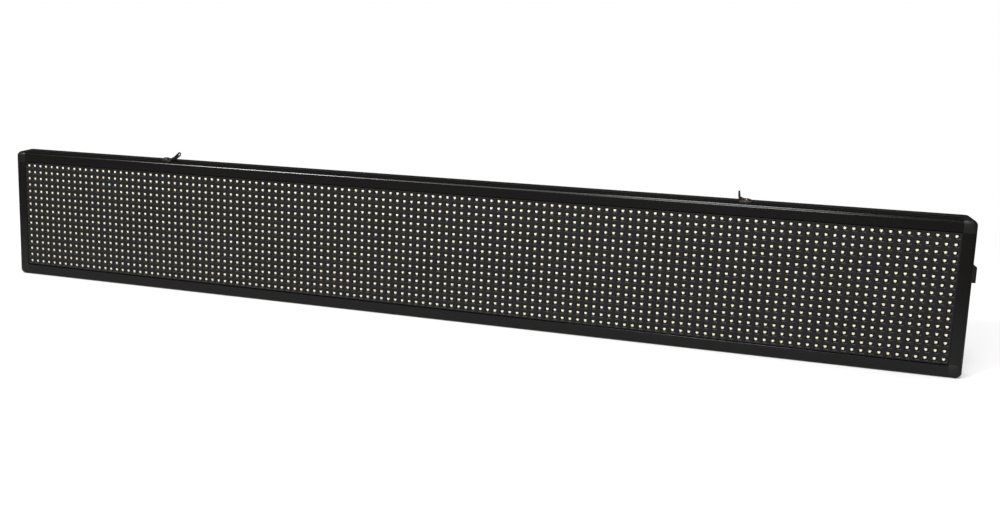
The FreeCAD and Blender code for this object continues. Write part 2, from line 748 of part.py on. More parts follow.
# Power inlet: a bevelled housing on the right rail, its threaded neck and nut
def make_inlet():
    body = new_body("inlet")
    side = flat_sketch(body, "inlet_outline", "XZ_Plane")
    side.setExpression("AttachmentOffset.Base.z", f"-({FRONT} + sizes.inlet_front)")
    wall = f"({HALF_FIELD} + sizes.bar_width)"
    face = f"({wall} + sizes.inlet_stand)"
    low = f"({NECK_Z} - sizes.inlet_tall / 2)"
    high = f"({NECK_Z} + sizes.inlet_tall / 2)"
    outline(side, (
        (wall, low),
        (face, low),
        (face, f"{high} - sizes.inlet_bevel"),
        (f"{wall} + sizes.inlet_brim", high),
        (wall, high),
    ))
    pad(body, side, "sizes.inlet_deep", True)
    tip = (half_field - size("neck_inside"), worked_out(NECK_Y), worked_out(NECK_Z))
    neck = flat_peg(tip, RIGHT, size("neck_radius"), size("neck_inside") + size("bar_width"), size("neck_sides"))
    whole = fused("power_inlet", [body, group("neck", [neck])])
    bottom = (worked_out(face) - size("socket_deep"), worked_out(NECK_Y), worked_out(NECK_Z))
    bore = round_peg(bottom, RIGHT, size("socket_radius"), size("socket_deep"))
    name_node(drilled("power_inlet", whole, [bore]), "power_inlet")
    flat = doc.addObject("Part::Prism", "nut_blank")
    flat.Polygon = 6
    bind(flat, Circumradius="sizes.nut_across", Height="sizes.nut_thick")
    flat.Placement.Rotation = FreeCAD.Rotation(FreeCAD.Vector(0, 1, 0), 90)
    place(flat, f"{HALF_FIELD} - sizes.nut_thick", NECK_Y, NECK_Z)
    name_node(drilled("inlet_nut", flat, [neck]), "inlet_nut")


# Controller card on four posts behind the modules, its terminal on the power leads
def make_card():
    card_front = f"({LEDGE} - sizes.post_long - sizes.board_thick)"
    left = "(sizes.card_place - sizes.card_long / 2)"
    low = f"({TOP} / 2 - sizes.card_drop - sizes.card_tall / 2)"
    lead_back = f"({STRAP_BACK} + sizes.lead_stand + sizes.lead_side)"
    lead_low = f"({TOP} / 2 - sizes.power_drop - sizes.lead_gap)"
    board = box("card_board", (left, card_front, low),
                ("sizes.card_long", "sizes.board_thick", "sizes.card_tall"))
    terminal = box("card_terminal", (f"{left} + sizes.terminal_inset", lead_back, lead_low),
                   ("sizes.terminal_long", f"{card_front} - {lead_back}", "2 * sizes.lead_gap"))
    socket = box("card_socket",
                 (f"{left} + sizes.card_long - sizes.header_wide", f"{BOARD_BACK} + sizes.header_rise",
                  f"({TOP} - sizes.header_long) / 2 - sizes.ribbon_drop"),
                 ("sizes.header_wide", f"{card_front} - {BOARD_BACK} - sizes.header_rise", "sizes.header_long"))
    chips = []
    for index, share in enumerate(("0.3", "0.6", "0.1")):
        side = "sizes.chip_side" if index != 1 else "(sizes.chip_side * 0.7)"
        chips.append(box(f"card_chip_{index + 1}",
                         (f"{left} + sizes.card_long * {share}", f"{card_front} - sizes.chip_rise",
                          f"{low} + sizes.card_tall * 0.45"),
                         (side, "sizes.chip_rise", side)))
    name_node(fused("controller_card", [board, terminal, socket] + chips), "controller_card")
    posts = []
    edge = size("post_radius") + size("post_edge")
    middle = top / 2 - size("card_drop")
    for x in (-size("card_long") / 2 + edge, size("card_long") / 2 - edge):
        for z in (-size("card_tall") / 2 + edge, size("card_tall") / 2 - edge):
            spot = (size("card_place") + x, ledge_y, middle + z)
            posts.append(flat_peg(spot, FORWARD, size("post_radius"), size("post_long"), 6))
    name_node(group("card_posts", posts), "card_posts")


# Ribbon sockets, the flat cables that join them, and the power headers
def make_wiring():
    middle = top / 2
    ribbon_z = middle - size("ribbon_drop")
    wide = size("header_wide")
    long = size("header_long")
    rise = size("header_rise")
    centres = [left + module_long / 2 for left in module_lefts]
    inputs = [x + size("header_place") for x in centres]
    outputs = [x - size("header_place") for x in centres]

    def block(x, y, z, dx, dy, dz):
        return Part.makeBox(dx, dy, dz, FreeCAD.Vector(x - dx / 2, y, z - dz / 2))

    sockets = [block(x, board_back, ribbon_z, wide, rise, long) for x in inputs + outputs]
    name_node(group("ribbon_sockets", sockets), "ribbon_sockets")
    plug_y = board_back + rise
    strip_y = plug_y + size("plug_rise")
    card_end = size("card_place") + size("card_long") / 2
    runs = [(card_end + wide / 2, inputs[-1])]
    runs += [(inputs[k], outputs[k + 1]) for k in reversed(range(len(centres) - 1))]
    for index, (start, end) in enumerate(runs, 1):
        strip = Part.makeBox(end - start, size("ribbon_thick"), size("ribbon_wide"),
                             FreeCAD.Vector(start, strip_y, ribbon_z - size("ribbon_wide") / 2))
        ends = [block(x, plug_y, ribbon_z, wide, size("plug_rise"), long) for x in (start, end)]
        cable = strip.fuse(ends).removeSplitter()
        label = f"ribbon_cable_{index}"
        name_node(group(label, cable.Solids), label)
    level = middle - size("power_drop")
    gap = size("lead_gap")
    header_x = [x + size("power_place") for x in centres]
    headers = [block(x, board_back, level, 4 * gap, rise, 2 * gap) for x in header_x]
    name_node(group("power_headers", headers), "power_headers")
    lead_front = strap_back + size("lead_stand")
    header_top = board_back + rise
    plugs = [block(x, header_top, level, 3 * gap, lead_front - header_top, 2 * gap) for x in header_x]
    name_node(group("power_plugs", plugs), "power_plugs")
    make_lead(header_x[0] - 1.5 * gap, level)


# Power lead, a flat pair of wires: from the inlet's neck, down and along over the plugs
def make_lead(start_x, level):
    thick = size("lead_side")
    half = thick / 2 + size("lead_gap") / 2
    bend = size("lead_bend")
    y = strap_back + size("lead_stand") + thick / 2
    neck_x = half_field - size("neck_inside")
    high = worked_out(NECK_Z)
    rise_x = half_field - size("lead_turn")
    lean = bend * math.sqrt(0.5)

    def at(x, z):
        return FreeCAD.Vector(x, y, z)

    runs = [
        Part.LineSegment(at(start_x, level), at(rise_x - bend, level)),
        Part.Arc(at(rise_x - bend, level), at(rise_x - bend + lean, level + bend - lean),
                 at(rise_x, level + bend)),
        Part.LineSegment(at(rise_x, level + bend), at(rise_x, high - bend)),
        Part.Arc(at(rise_x, high - bend), at(rise_x + bend - lean, high - bend + lean),
                 at(rise_x + bend, high)),
        Part.LineSegment(at(rise_x + bend, high), at(neck_x, high)),
    ]
    path = Part.Wire([run.toShape() for run in runs])
    corners = [
        FreeCAD.Vector(start_x, y + a * thick / 2, level + b * half)
        for a, b in ((-1, -1), (1, -1), (1, 1), (-1, 1), (-1, -1))
    ]
    name_node(group("power_lead", [path.makePipeShell([Part.makePolygon(corners)], True, False)]), "power_lead")


make_rails()
make_corners()
make_modules()
make_crossbars()
make_cover()
make_hangers()
make_inlet()
make_card()
make_wiring()
doc.recompute()

for thing in doc.Objects:
    if "Invalid" in thing.State or "Error" in thing.State:
        raise RuntimeError(f"{thing.Label} failed: {thing.State}")
os.makedirs("parts", exist_ok=True)
for label, thing in nodes.items():
    if thing.Shape.isNull() or not thing.Shape.isValid() or not thing.Shape.Solids:
        raise RuntimeError(f"{label} has no valid solid")
    thing.Shape.exportStep(f"parts/{label}.step")
print(f"{len(nodes)} nodes written")
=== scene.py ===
import bpy
import bmesh
import math
from mathutils import Matrix, Vector


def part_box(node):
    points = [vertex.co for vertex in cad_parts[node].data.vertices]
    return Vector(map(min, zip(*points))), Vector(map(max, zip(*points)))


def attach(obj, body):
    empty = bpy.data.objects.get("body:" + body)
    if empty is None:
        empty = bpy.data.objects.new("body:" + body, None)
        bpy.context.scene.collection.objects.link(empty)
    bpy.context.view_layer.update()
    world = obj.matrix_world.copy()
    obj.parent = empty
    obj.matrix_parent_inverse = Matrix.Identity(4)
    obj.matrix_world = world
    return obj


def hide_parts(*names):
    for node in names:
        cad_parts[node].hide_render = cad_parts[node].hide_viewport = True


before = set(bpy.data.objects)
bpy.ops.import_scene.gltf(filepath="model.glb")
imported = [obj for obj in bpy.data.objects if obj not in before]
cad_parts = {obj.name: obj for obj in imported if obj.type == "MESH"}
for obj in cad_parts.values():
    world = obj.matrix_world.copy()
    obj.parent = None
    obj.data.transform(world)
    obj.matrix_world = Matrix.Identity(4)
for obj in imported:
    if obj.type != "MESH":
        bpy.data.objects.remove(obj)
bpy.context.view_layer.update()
world = bpy.context.scene
mm = 0.001  # lengths below are written in millimetres and turned into metres

panel = {"pitch": 10, "columns": 32, "rows": 16, "modules": 4, "depth": 32, "bar": 15.5, "high": 193}
panel["halfField"] = panel["pitch"] * panel["columns"] * panel["modules"] / 2
panel["middle"] = panel["high"] / 2
panel["front"] = -panel["depth"] / 2


# Node helpers
def link(tree, source, target):
    tree.links.new(source, target)


def feed(tree, node, values):  # each value is a socket to link or a plain value
    for key, value in values.items():
        if hasattr(value, "links"):
            link(tree, value, node.inputs[key])
        else:
            node.inputs[key].default_value = value


def addNode(tree, kind, values=None, **settings):
    node = tree.nodes.new(kind)
    for key, value in settings.items():
        setattr(node, key, value)
    feed(tree, node, values or {})
    return node


def mathNode(tree, operation, first, second=0.0):
    return addNode(tree, "ShaderNodeMath", {0: first, 1: second}, operation=operation).outputs[0]


def noiseNode(tree, place, scale, detail):
    return addNode(tree, "ShaderNodeTexNoise", {
        "Vector": place, "Scale": scale, "Detail": detail, "Roughness": surface["noiseRough"],
    }).outputs["Fac"]


def rangeNode(tree, source, low, high, sourceLow=0.3, sourceHigh=0.7):
    return addNode(tree, "ShaderNodeMapRange", {
        "Value": source, "From Min": sourceLow, "From Max": sourceHigh, "To Min": low, "To Max": high,
    }).outputs["Result"]


# Materials: each surface has broad patches and fine grain
surface = {"noiseRough": 0.55, "patchDetail": 4, "grainDetail": 2, "patchShare": 0.65, "grainShare": 0.35,
           "smoothest": 0.88, "roughest": 1.14}
usual = {"stretch": (1, 1, 1), "patchScale": 18, "grain": 0.25, "grainDeep": 0.00004, "metal": 0,
         "spread": 0.14, "shine": 0.5}  # for what a look doesn't say itself
looks = {
    "rail": {"colour": (0.0038, 0.0034, 0.0031), "rough": 0.2, "stretch": (0.06, 1, 1), "grainScale": 1400,
             "grain": 0.06, "grainDeep": 0.00001, "patchScale": 22, "spread": 0.12},
    "corner": {"colour": (0.0062, 0.0057, 0.0053), "rough": 0.38, "grainScale": 1900, "grain": 0.4,
               "spread": 0.12, "shine": 0.42},
    "mask": {"colour": (0.0078, 0.0075, 0.0073), "rough": 0.45, "grainScale": 2200, "grain": 0.35,
             "shine": 0.32},
    "board": {"colour": (0.006, 0.0065, 0.006), "rough": 0.45, "grainScale": 900, "grain": 0.2, "shine": 0.3},
    "moulding": {"colour": (0.03, 0.03, 0.03), "rough": 0.55, "grainScale": 1500},
    "zinc": {"colour": (0.55, 0.56, 0.57), "rough": 0.38, "metal": 1, "grainScale": 1200, "spread": 0.1},
    "cover": {"colour": (0.028, 0.028, 0.03), "rough": 0.58, "grainScale": 1300, "grain": 0.8,
              "grainDeep": 0.00009, "spread": 0.12},
    "hanger": {"colour": (0.07, 0.057, 0.044), "rough": 0.34, "metal": 0.7, "grainScale": 1700,
               "spread": 0.16},
    "steel": {"colour": (0.72, 0.72, 0.71), "rough": 0.24, "metal": 1, "grainScale": 1500, "spread": 0.06},
    "screw": {"colour": (0.3, 0.3, 0.31), "rough": 0.34, "metal": 1, "grainScale": 1500, "spread": 0.1},
    "brass": {"colour": (0.62, 0.48, 0.22), "rough": 0.3, "metal": 1, "grainScale": 1500, "spread": 0.08},
    "inlet": {"colour": (0.012, 0.009, 0.0075), "rough": 0.42, "grainScale": 1800, "grain": 0.45,
              "shine": 0.35},
    "nylon": {"colour": (0.72, 0.71, 0.66), "rough": 0.5, "grainScale": 1200},
    "ribbon": {"colour": (0.33, 0.34, 0.35), "rough": 0.5, "stretch": (0.05, 1, 1), "grainScale": 900,
               "grain": 0.4},
    "lead": {"colour": (0.33, 0.03, 0.028), "rough": 0.42, "grainScale": 900},
}
looks["sideRail"] = dict(looks["rail"], stretch=(1, 1, 0.06))  # drawn along z, as the others are along x


def finishOf(name, own):
    look = usual | own
    made = bpy.data.materials.new(name)
    made.use_nodes = True
    tree = made.node_tree
    place = addNode(tree, "ShaderNodeTexCoord").outputs["Object"]
    drawn = addNode(tree, "ShaderNodeVectorMath", {0: place, 1: look["stretch"]},
                    operation="MULTIPLY").outputs[0]
    patches = noiseNode(tree, drawn, look["patchScale"], surface["patchDetail"])
    grain = noiseNode(tree, drawn, look["grainScale"], surface["grainDetail"])
    both = mathNode(tree, "ADD", mathNode(tree, "MULTIPLY", patches, surface["patchShare"]),
                    mathNode(tree, "MULTIPLY", grain, surface["grainShare"]))
    colour, spread, rough = look["colour"], look["spread"], look["rough"]
    tint = addNode(tree, "ShaderNodeMix", {
        "Factor": rangeNode(tree, both, 0, 1),
        "A": (*[part * (1 - spread) for part in colour], 1),
        "B": (*[min(1, part * (1 + spread)) for part in colour], 1),
    }, data_type="RGBA")
    bump = addNode(tree, "ShaderNodeBump", {
        "Strength": look["grain"], "Distance": look["grainDeep"], "Height": grain,
    })
    feed(tree, tree.nodes["Principled BSDF"], {
        "Base Color": tint.outputs["Result"], "Normal": bump.outputs["Normal"],
        "Roughness": rangeNode(tree, both, rough * surface["smoothest"], min(1, rough * surface["roughest"])),
        "Metallic": look["metal"], "Specular IOR Level": look["shine"],
    })
    return made


# The lamps' lenses: each lamp takes its own tint, and the unlit lenses get a faint painted glow
lampLook = {
    "warm": (0.81, 0.735, 0.51), "cream": (0.8, 0.765, 0.61), "rose": (0.81, 0.735, 0.61),
    "cool": (0.77, 0.78, 0.68),
    "shares": (("warm", 0), ("cream", 0.2), ("cream", 0.72), ("rose", 0.86), ("cool", 1)),
    "cellShift": -0.65,  # puts each row of lamps in the middle of its row of cells
    # the lens emission strength is painted light: a faint glow that brightens the unlit lenses
    "speckScale": 900, "speckDark": 0.9, "rough": 0.42, "roughest": 1.3, "skyLightAndPaintedGlow": 0.06,
}


def lampFinish():
    made = bpy.data.materials.new("lampLens")
    made.use_nodes = True
    tree = made.node_tree
    place = addNode(tree, "ShaderNodeTexCoord").outputs["Object"]
    perMetre = 1 / (panel["pitch"] * mm)  # one cell to each lamp
    cells = addNode(tree, "ShaderNodeVectorMath", {
        0: place, 1: (perMetre, 0, perMetre), 2: (0, 0, lampLook["cellShift"]),
    }, operation="MULTIPLY_ADD")
    whole = addNode(tree, "ShaderNodeVectorMath", {0: cells.outputs[0]}, operation="FLOOR")
    chance = addNode(tree, "ShaderNodeTexWhiteNoise", {"Vector": whole.outputs[0]}, noise_dimensions="3D")
    ramp = addNode(tree, "ShaderNodeValToRGB", {"Fac": chance.outputs["Value"]})
    stops = ramp.color_ramp.elements
    stops.remove(stops[1])
    for name, position in lampLook["shares"]:
        stop = stops.new(position) if position else stops[0]
        stop.color = (*lampLook[name], 1)
    speck = noiseNode(tree, place, lampLook["speckScale"], surface["grainDetail"])
    level = rangeNode(tree, speck, lampLook["speckDark"], 1)
    shade = addNode(tree, "ShaderNodeCombineColor", {0: level, 1: level, 2: level})
    tone = addNode(tree, "ShaderNodeMix", {
        "Factor": 1, "A": ramp.outputs["Color"], "B": shade.outputs[0],
    }, data_type="RGBA", blend_type="MULTIPLY")
    # the lenses emit their own tint as a painted glow, although the lamps are off
    feed(tree, tree.nodes["Principled BSDF"], {
        "Base Color": tone.outputs["Result"], "Emission Color": tone.outputs["Result"],
        "Emission Strength": lampLook["skyLightAndPaintedGlow"],
        "Roughness": rangeNode(tree, speck, lampLook["rough"], lampLook["rough"] * lampLook["roughest"]),
    })
    return made


finishes = {name: finishOf(name, look) for name, look in looks.items()}
finishes["lamp"] = lampFinish()
print("stage: materials made")


# Outline helpers: lists of points in one plane, in millimetres
def arc(middle, radius, first, last, steps):
    spots = []
    for step in range(steps + 1):
        angle = math.radians(first + (last - first) * step / steps)
        spots.append((middle[0] + radius * math.cos(angle), middle[1] + radius * math.sin(angle)))
    return spots


def circle(middle, radius, sides):
    return arc(middle, radius, 0, 360 - 360 / sides, sides - 1)


def slotLoop(middle, long, tall, lean=0.0, steps=8):  # a slot with round ends, leaning by an angle
    shift = Vector((math.cos(lean), math.sin(lean))) * (long - tall) / 2
    spot, turn = Vector(middle), math.degrees(lean)
    return (arc(spot + shift, tall / 2, turn - 90, turn + 90, steps)
            + arc(spot - shift, tall / 2, turn + 90, turn + 270, steps))


def roundedLoop(corners, radii, steps=5):  # a closed outline, each corner rounded by its radius
    spots = []
    for index, (here, radius) in enumerate(zip(corners, radii)):
        spot = Vector(here)
        if not radius:
            spots.append(tuple(spot))
            continue
        before = (Vector(corners[index - 1]) - spot).normalized()
        after = (Vector(corners[(index + 1) % len(corners)]) - spot).normalized()
        opening = before.angle(after)
        reach = radius / math.tan(opening / 2)
        middle = spot + (before + after).normalized() * (radius / math.sin(opening / 2))
        start, end = spot + before * reach - middle, spot + after * reach - middle
        sweep = start.angle_signed(end)
        for step in range(steps + 1):
            turn = Matrix.Rotation(-sweep * step / steps, 2)
            spots.append(tuple(middle + turn @ start))
    return spots


# Mesh helpers
def objectFrom(name, mesh, finish, smooth=30):
    piece = bpy.data.objects.new(name, mesh)
    world.collection.objects.link(piece)
    mesh.materials.clear()
    mesh.materials.append(finish)
    for face in mesh.polygons:
        face.use_smooth = True
        face.material_index = 0
    if smooth:
        mesh.set_sharp_from_angle(angle=math.radians(smooth))
    return piece


def meshFrom(name, build):
    bmesh.ops.recalc_face_normals(build, faces=build.faces[:])
    mesh = bpy.data.meshes.new(name)
    build.to_mesh(mesh)
    build.free()
    return mesh


def pushed(loop, way):  # a closed loop of points, made solid by pushing it along a vector
    build = bmesh.new()
    base = build.faces.new([build.verts.new(Vector(spot) * mm) for spot in loop])
    parts = bmesh.ops.extrude_face_region(build, geom=[base])["geom"]
    moved = [part for part in parts if isinstance(part, bmesh.types.BMVert)]
    bmesh.ops.translate(build, verts=moved, vec=Vector(way) * mm)
    bmesh.ops.recalc_face_normals(build, faces=build.faces[:])
    return build


def boxed(low, high):  # a block between two opposite corners
    (x, y, z), (farX, farY, farZ) = low, high
    return pushed([(x, y, z), (farX, y, z), (farX, farY, z), (x, farY, z)], (0, 0, farZ - z))


def softened(build, wanted, width, segments):
    edges = [edge for edge in build.edges if wanted(edge)]
    bmesh.ops.bevel(build, geom=edges, offset=width * mm, segments=segments, profile=0.5,
                    affect="EDGES", clamp_overlap=True)
    return build


def sharper(degrees):  # picks the edges that turn by more than an angle
    return lambda edge: edge.calc_face_angle(0) > math.radians(degrees)


def plate(name, outlines, thick, bevel, weld=0.002):  # a flat sheet with holes and bevelled rims
    curve = bpy.data.curves.new(name + "Curve", "CURVE")
    curve.dimensions = "2D"
    curve.fill_mode = "BOTH"
    curve.extrude = (thick / 2 - bevel) * mm
    curve.bevel_depth = bevel * mm
    curve.bevel_resolution = 1
    curve.offset = -bevel * mm
    for spots in outlines:
        spline = curve.splines.new("POLY")
        spline.points.add(len(spots) - 1)
        for point, spot in zip(spline.points, spots):
            point.co = (spot[0] * mm, spot[1] * mm, 0, 1)
        spline.use_cyclic_u = True
    host = bpy.data.objects.new(name + "Host", curve)
    world.collection.objects.link(host)
    mesh = bpy.data.meshes.new_from_object(host.evaluated_get(bpy.context.evaluated_depsgraph_get()))
    bpy.data.objects.remove(host)
    build = bmesh.new()
    build.from_mesh(mesh)
    bmesh.ops.remove_doubles(build, verts=build.verts[:], dist=weld * mm)
    bpy.data.meshes.remove(mesh)
    return build


def lathe(rings, sides, start=0.0):  # rings are pairs of a radius and a height along z
    build = bmesh.new()
    loops = []
    for radius, level in rings:
        angles = [start + 2 * math.pi * k / sides for k in range(sides)]
        loops.append([
            build.verts.new(Vector((radius * math.cos(angle), radius * math.sin(angle), level)) * mm)
            for angle in angles
        ])
    for lower, upper in zip(loops, loops[1:]):
        for k in range(sides):
            build.faces.new((lower[k], lower[(k + 1) % sides], upper[(k + 1) % sides], upper[k]))
    build.faces.new(loops[0][::-1])
    build.faces.new(loops[-1])
    bmesh.ops.recalc_face_normals(build, faces=build.faces[:])
    return build


def merged(builds):
    whole = bmesh.new()
    for part in builds:
        spare = bpy.data.meshes.new("spare")
        part.to_mesh(spare)
        part.free()
        whole.from_mesh(spare)
        bpy.data.meshes.remove(spare)
    return whole


def turnedBy(build, matrix):
    bmesh.ops.transform(build, matrix=matrix, verts=build.verts[:])
    if matrix.determinant() < 0:
        bmesh.ops.reverse_faces(build, faces=build.faces[:])
    return build


def shifted(x, y, z):
    return Matrix.Translation(Vector((x, y, z)) * mm)


def cutBy(piece, tools):  # takes the tools out of a piece, then drops them
    for tool in tools:
        cutter = bpy.data.objects.new("cutter", meshFrom("cutter", tool))
        world.collection.objects.link(cutter)
        modifier = piece.modifiers.new("cut", "BOOLEAN")
        modifier.object = cutter
        modifier.operation = "DIFFERENCE"
        modifier.solver = "EXACT"
        graph = bpy.context.evaluated_depsgraph_get()
        mesh = bpy.data.meshes.new_from_object(piece.evaluated_get(graph))
        piece.modifiers.clear()
        piece.data = mesh
        bpy.data.objects.remove(cutter)
    return piece


def shown(piece, slotName, *nodes):
    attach(piece, "root")
    if nodes:
        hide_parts(*nodes)
    return piece


# Geometry Nodes helpers
def newTree(name, inputs):
    tree = bpy.data.node_groups.new(name, "GeometryNodeTree")
    face = tree.interface
    face.new_socket(name="Geometry", in_out="OUTPUT", socket_type="NodeSocketGeometry")
    keys = {
        label: face.new_socket(name=label, in_out="INPUT", socket_type="NodeSocket" + kind).identifier
        for label, kind in inputs.items()
    }
    start = tree.nodes.new("NodeGroupInput")
    end = tree.nodes.new("NodeGroupOutput")
    return tree, keys, start.outputs, end.inputs[0]


def joinedNode(tree, sources):
    node = addNode(tree, "GeometryNodeJoinGeometry")
    for source in sources:
        link(tree, source.outputs[0], node.inputs[0])
    return node


def gridNode(tree, wide, tall, columns, rows):
    return addNode(tree, "GeometryNodeMeshGrid", {
        "Size X": wide, "Size Y": tall, "Vertices X": columns, "Vertices Y": rows,
    })


def grown(name, tree, keys, values):  # runs a tree on an empty mesh and hands back what it makes
    host = bpy.data.objects.new(name + "Host", bpy.data.meshes.new(name + "Host"))
    world.collection.objects.link(host)
    modifier = host.modifiers.new("build", "NODES")
    modifier.node_group = tree
    for label, value in values.items():
        modifier[keys[label]] = value
    host.update_tag()
    graph = bpy.context.evaluated_depsgraph_get()
    mesh = bpy.data.meshes.new_from_object(host.evaluated_get(graph))
    host.modifiers.clear()
    bpy.data.objects.remove(host)
    mesh.name = name
    return mesh


def fieldValues(module, level):  # what the mask and the lamps of one module have in common
    middle = -panel["halfField"] + panel["pitch"] * panel["columns"] * (module + 0.5)
    return {
        "Pitch": panel["pitch"] * mm, "Columns": panel["columns"], "Rows": panel["rows"],
        "Place": (middle * mm, level, panel["middle"] * mm),
    }


# Masks: one flared cell, set out over a grid, trimmed and closed round its edge
mask = {"sink": 1.2, "windowFront": 7.0, "windowThroat": 4.8, "round": 1.3, "roundSteps": 3, "thick": 3.4,
        "flare": 0.9, "flareSpots": 3, "seam": 0.12, "weld": 0.02, "smooth": 25}


def maskTree():
    tree, keys, given, result = newTree("maskField", {
        "Pitch": "Float", "Columns": "Int", "Rows": "Int", "Window": "Float", "Throat": "Float",
        "Round": "Float", "Round Steps": "Int", "Thick": "Float", "Flare": "Float", "Flare Spots": "Int",
        "Seam": "Float", "Weld": "Float", "Place": "Vector", "Finish": "Material",
    })
    pitch, thick = given["Pitch"], given["Thick"]
    square = addNode(tree, "GeometryNodeCurvePrimitiveQuadrilateral", {"Width": pitch, "Height": pitch})
    opening = addNode(tree, "GeometryNodeCurvePrimitiveQuadrilateral",
                      {"Width": given["Window"], "Height": given["Window"]})
    fillet = addNode(tree, "GeometryNodeFilletCurve", {
        "Curve": opening.outputs[0], "Radius": given["Round"], "Count": given["Round Steps"],
    }, mode="POLY")
    ring = joinedNode(tree, (square, fillet))
    face = addNode(tree, "GeometryNodeFillCurve", {"Curve": ring.outputs[0]})
    shrink = mathNode(tree, "DIVIDE", given["Throat"], given["Window"])
    smaller = addNode(tree, "ShaderNodeCombineXYZ", {"X": shrink, "Y": shrink, "Z": 1.0})
    back = addNode(tree, "ShaderNodeCombineXYZ", {"Z": mathNode(tree, "MULTIPLY", thick, -1.0)})
    backOpening = addNode(tree, "GeometryNodeTransform",
                          {"Geometry": fillet.outputs[0], "Scale": smaller.outputs[0]})
    backRing = joinedNode(tree, (square, backOpening))
    backFace = addNode(tree, "GeometryNodeFillCurve", {"Curve": backRing.outputs[0]})
    backPlaced = addNode(tree, "GeometryNodeTransform",
                         {"Geometry": backFace.outputs[0], "Translation": back.outputs[0]})
    line = addNode(tree, "GeometryNodeCurvePrimitiveLine", {"End": back.outputs[0]})
    spots = addNode(tree, "GeometryNodeResampleCurve",
                    {"Curve": line.outputs[0], "Count": given["Flare Spots"]})
    index = addNode(tree, "GeometryNodeInputIndex").outputs[0]
    toFlare = mathNode(tree, "MULTIPLY", mathNode(tree, "MINIMUM", index, 1.0), given["Flare"])
    past = mathNode(tree, "MAXIMUM", mathNode(tree, "SUBTRACT", index, 1.0), 0.0)
    toBack = mathNode(tree, "MULTIPLY", past, mathNode(tree, "SUBTRACT", thick, given["Flare"]))
    depth = mathNode(tree, "MULTIPLY", mathNode(tree, "ADD", toFlare, toBack), -1.0)
    way = addNode(tree, "ShaderNodeCombineXYZ", {"Z": depth})
    bent = addNode(tree, "GeometryNodeSetPosition",
                   {"Geometry": spots.outputs[0], "Position": way.outputs[0]})
    inside = mathNode(tree, "GREATER_THAN", index, 0.5)
    change = mathNode(tree, "SUBTRACT", shrink, 1.0)
    widths = mathNode(tree, "ADD", mathNode(tree, "MULTIPLY", inside, change), 1.0)
    flare = addNode(tree, "GeometryNodeCurveToMesh",
                    {"Curve": bent.outputs[0], "Profile Curve": fillet.outputs[0], "Scale": widths})
    cell = joinedNode(tree, (face, flare, backPlaced))
    wide = mathNode(tree, "MULTIPLY", pitch, given["Columns"])
    tall = mathNode(tree, "MULTIPLY", pitch, given["Rows"])
    grid = gridNode(tree, mathNode(tree, "SUBTRACT", wide, pitch), mathNode(tree, "SUBTRACT", tall, pitch),
                    given["Columns"], given["Rows"])
    cells = addNode(tree, "GeometryNodeInstanceOnPoints",
                    {"Points": grid.outputs[0], "Instance": cell.outputs[0]})
    real = addNode(tree, "GeometryNodeRealizeInstances", {"Geometry": cells.outputs[0]})
    sheet = addNode(tree, "GeometryNodeMergeByDistance",
                    {"Geometry": real.outputs[0], "Distance": given["Weld"]})
    spot = addNode(tree, "GeometryNodeInputPosition").outputs[0]
    parts = addNode(tree, "ShaderNodeSeparateXYZ", {0: spot}).outputs
    halfSeam = mathNode(tree, "MULTIPLY", given["Seam"], 0.5)
    trimmed = []
    for axis, length in enumerate((wide, tall)):
        limit = mathNode(tree, "SUBTRACT", mathNode(tree, "MULTIPLY", length, 0.5), halfSeam)
        trimmed.append(addNode(tree, "ShaderNodeClamp", {
            "Value": parts[axis], "Min": mathNode(tree, "MULTIPLY", limit, -1.0), "Max": limit,
        }).outputs[0])
    kept = addNode(tree, "ShaderNodeCombineXYZ", {"X": trimmed[0], "Y": trimmed[1], "Z": parts[2]})
    trim = addNode(tree, "GeometryNodeSetPosition",
                   {"Geometry": sheet.outputs[0], "Position": kept.outputs[0]})
    faces = addNode(tree, "GeometryNodeInputMeshEdgeNeighbors").outputs[0]
    freeEdge = addNode(tree, "FunctionNodeCompare", {2: faces, 3: 1}, data_type="INT", operation="EQUAL")
    ahead = mathNode(tree, "GREATER_THAN", parts[2], mathNode(tree, "MULTIPLY", thick, -0.5))
    rim = addNode(tree, "FunctionNodeBooleanMath", {0: freeEdge.outputs[0], 1: ahead}, operation="AND")
    sides = addNode(tree, "GeometryNodeExtrudeMesh", {
        "Mesh": trim.outputs[0], "Selection": rim.outputs[0], "Offset": back.outputs[0], "Offset Scale": 1.0,
    }, mode="EDGES")
    closed = addNode(tree, "GeometryNodeMergeByDistance",
                     {"Geometry": sides.outputs[0], "Distance": given["Weld"]})
    stood = addNode(tree, "GeometryNodeTransform", {
        "Geometry": closed.outputs[0], "Translation": given["Place"], "Rotation": (math.pi / 2, 0, 0),
    })
    last = addNode(tree, "GeometryNodeRealizeInstances", {"Geometry": stood.outputs[0]})
    dressed = addNode(tree, "GeometryNodeSetMaterial",
                      {"Geometry": last.outputs[0], "Material": given["Finish"]})
    link(tree, dressed.outputs[0], result)
    return tree, keys


def makeMasks():
    tree, keys = maskTree()
    face = (panel["front"] + mask["sink"]) * mm
    for module in range(panel["modules"]):
        name = f"maskField{module + 1}"
        mesh = grown(name, tree, keys, fieldValues(module, face) | {
            "Window": mask["windowFront"] * mm, "Throat": mask["windowThroat"] * mm,
            "Round": mask["round"] * mm, "Round Steps": mask["roundSteps"], "Thick": mask["thick"] * mm,
            "Flare": mask["flare"] * mm, "Flare Spots": mask["flareSpots"], "Seam": mask["seam"] * mm,
            "Weld": mask["weld"] * mm, "Finish": finishes["mask"],
        })
        build = bmesh.new()
        build.from_mesh(mesh)
        bmesh.ops.recalc_face_normals(build, faces=build.faces[:])
        build.to_mesh(mesh)
        build.free()
        shown(objectFrom(name, mesh, finishes["mask"], mask["smooth"]), "mask", f"mask_{module + 1}")


makeMasks()
print("stage: masks made")


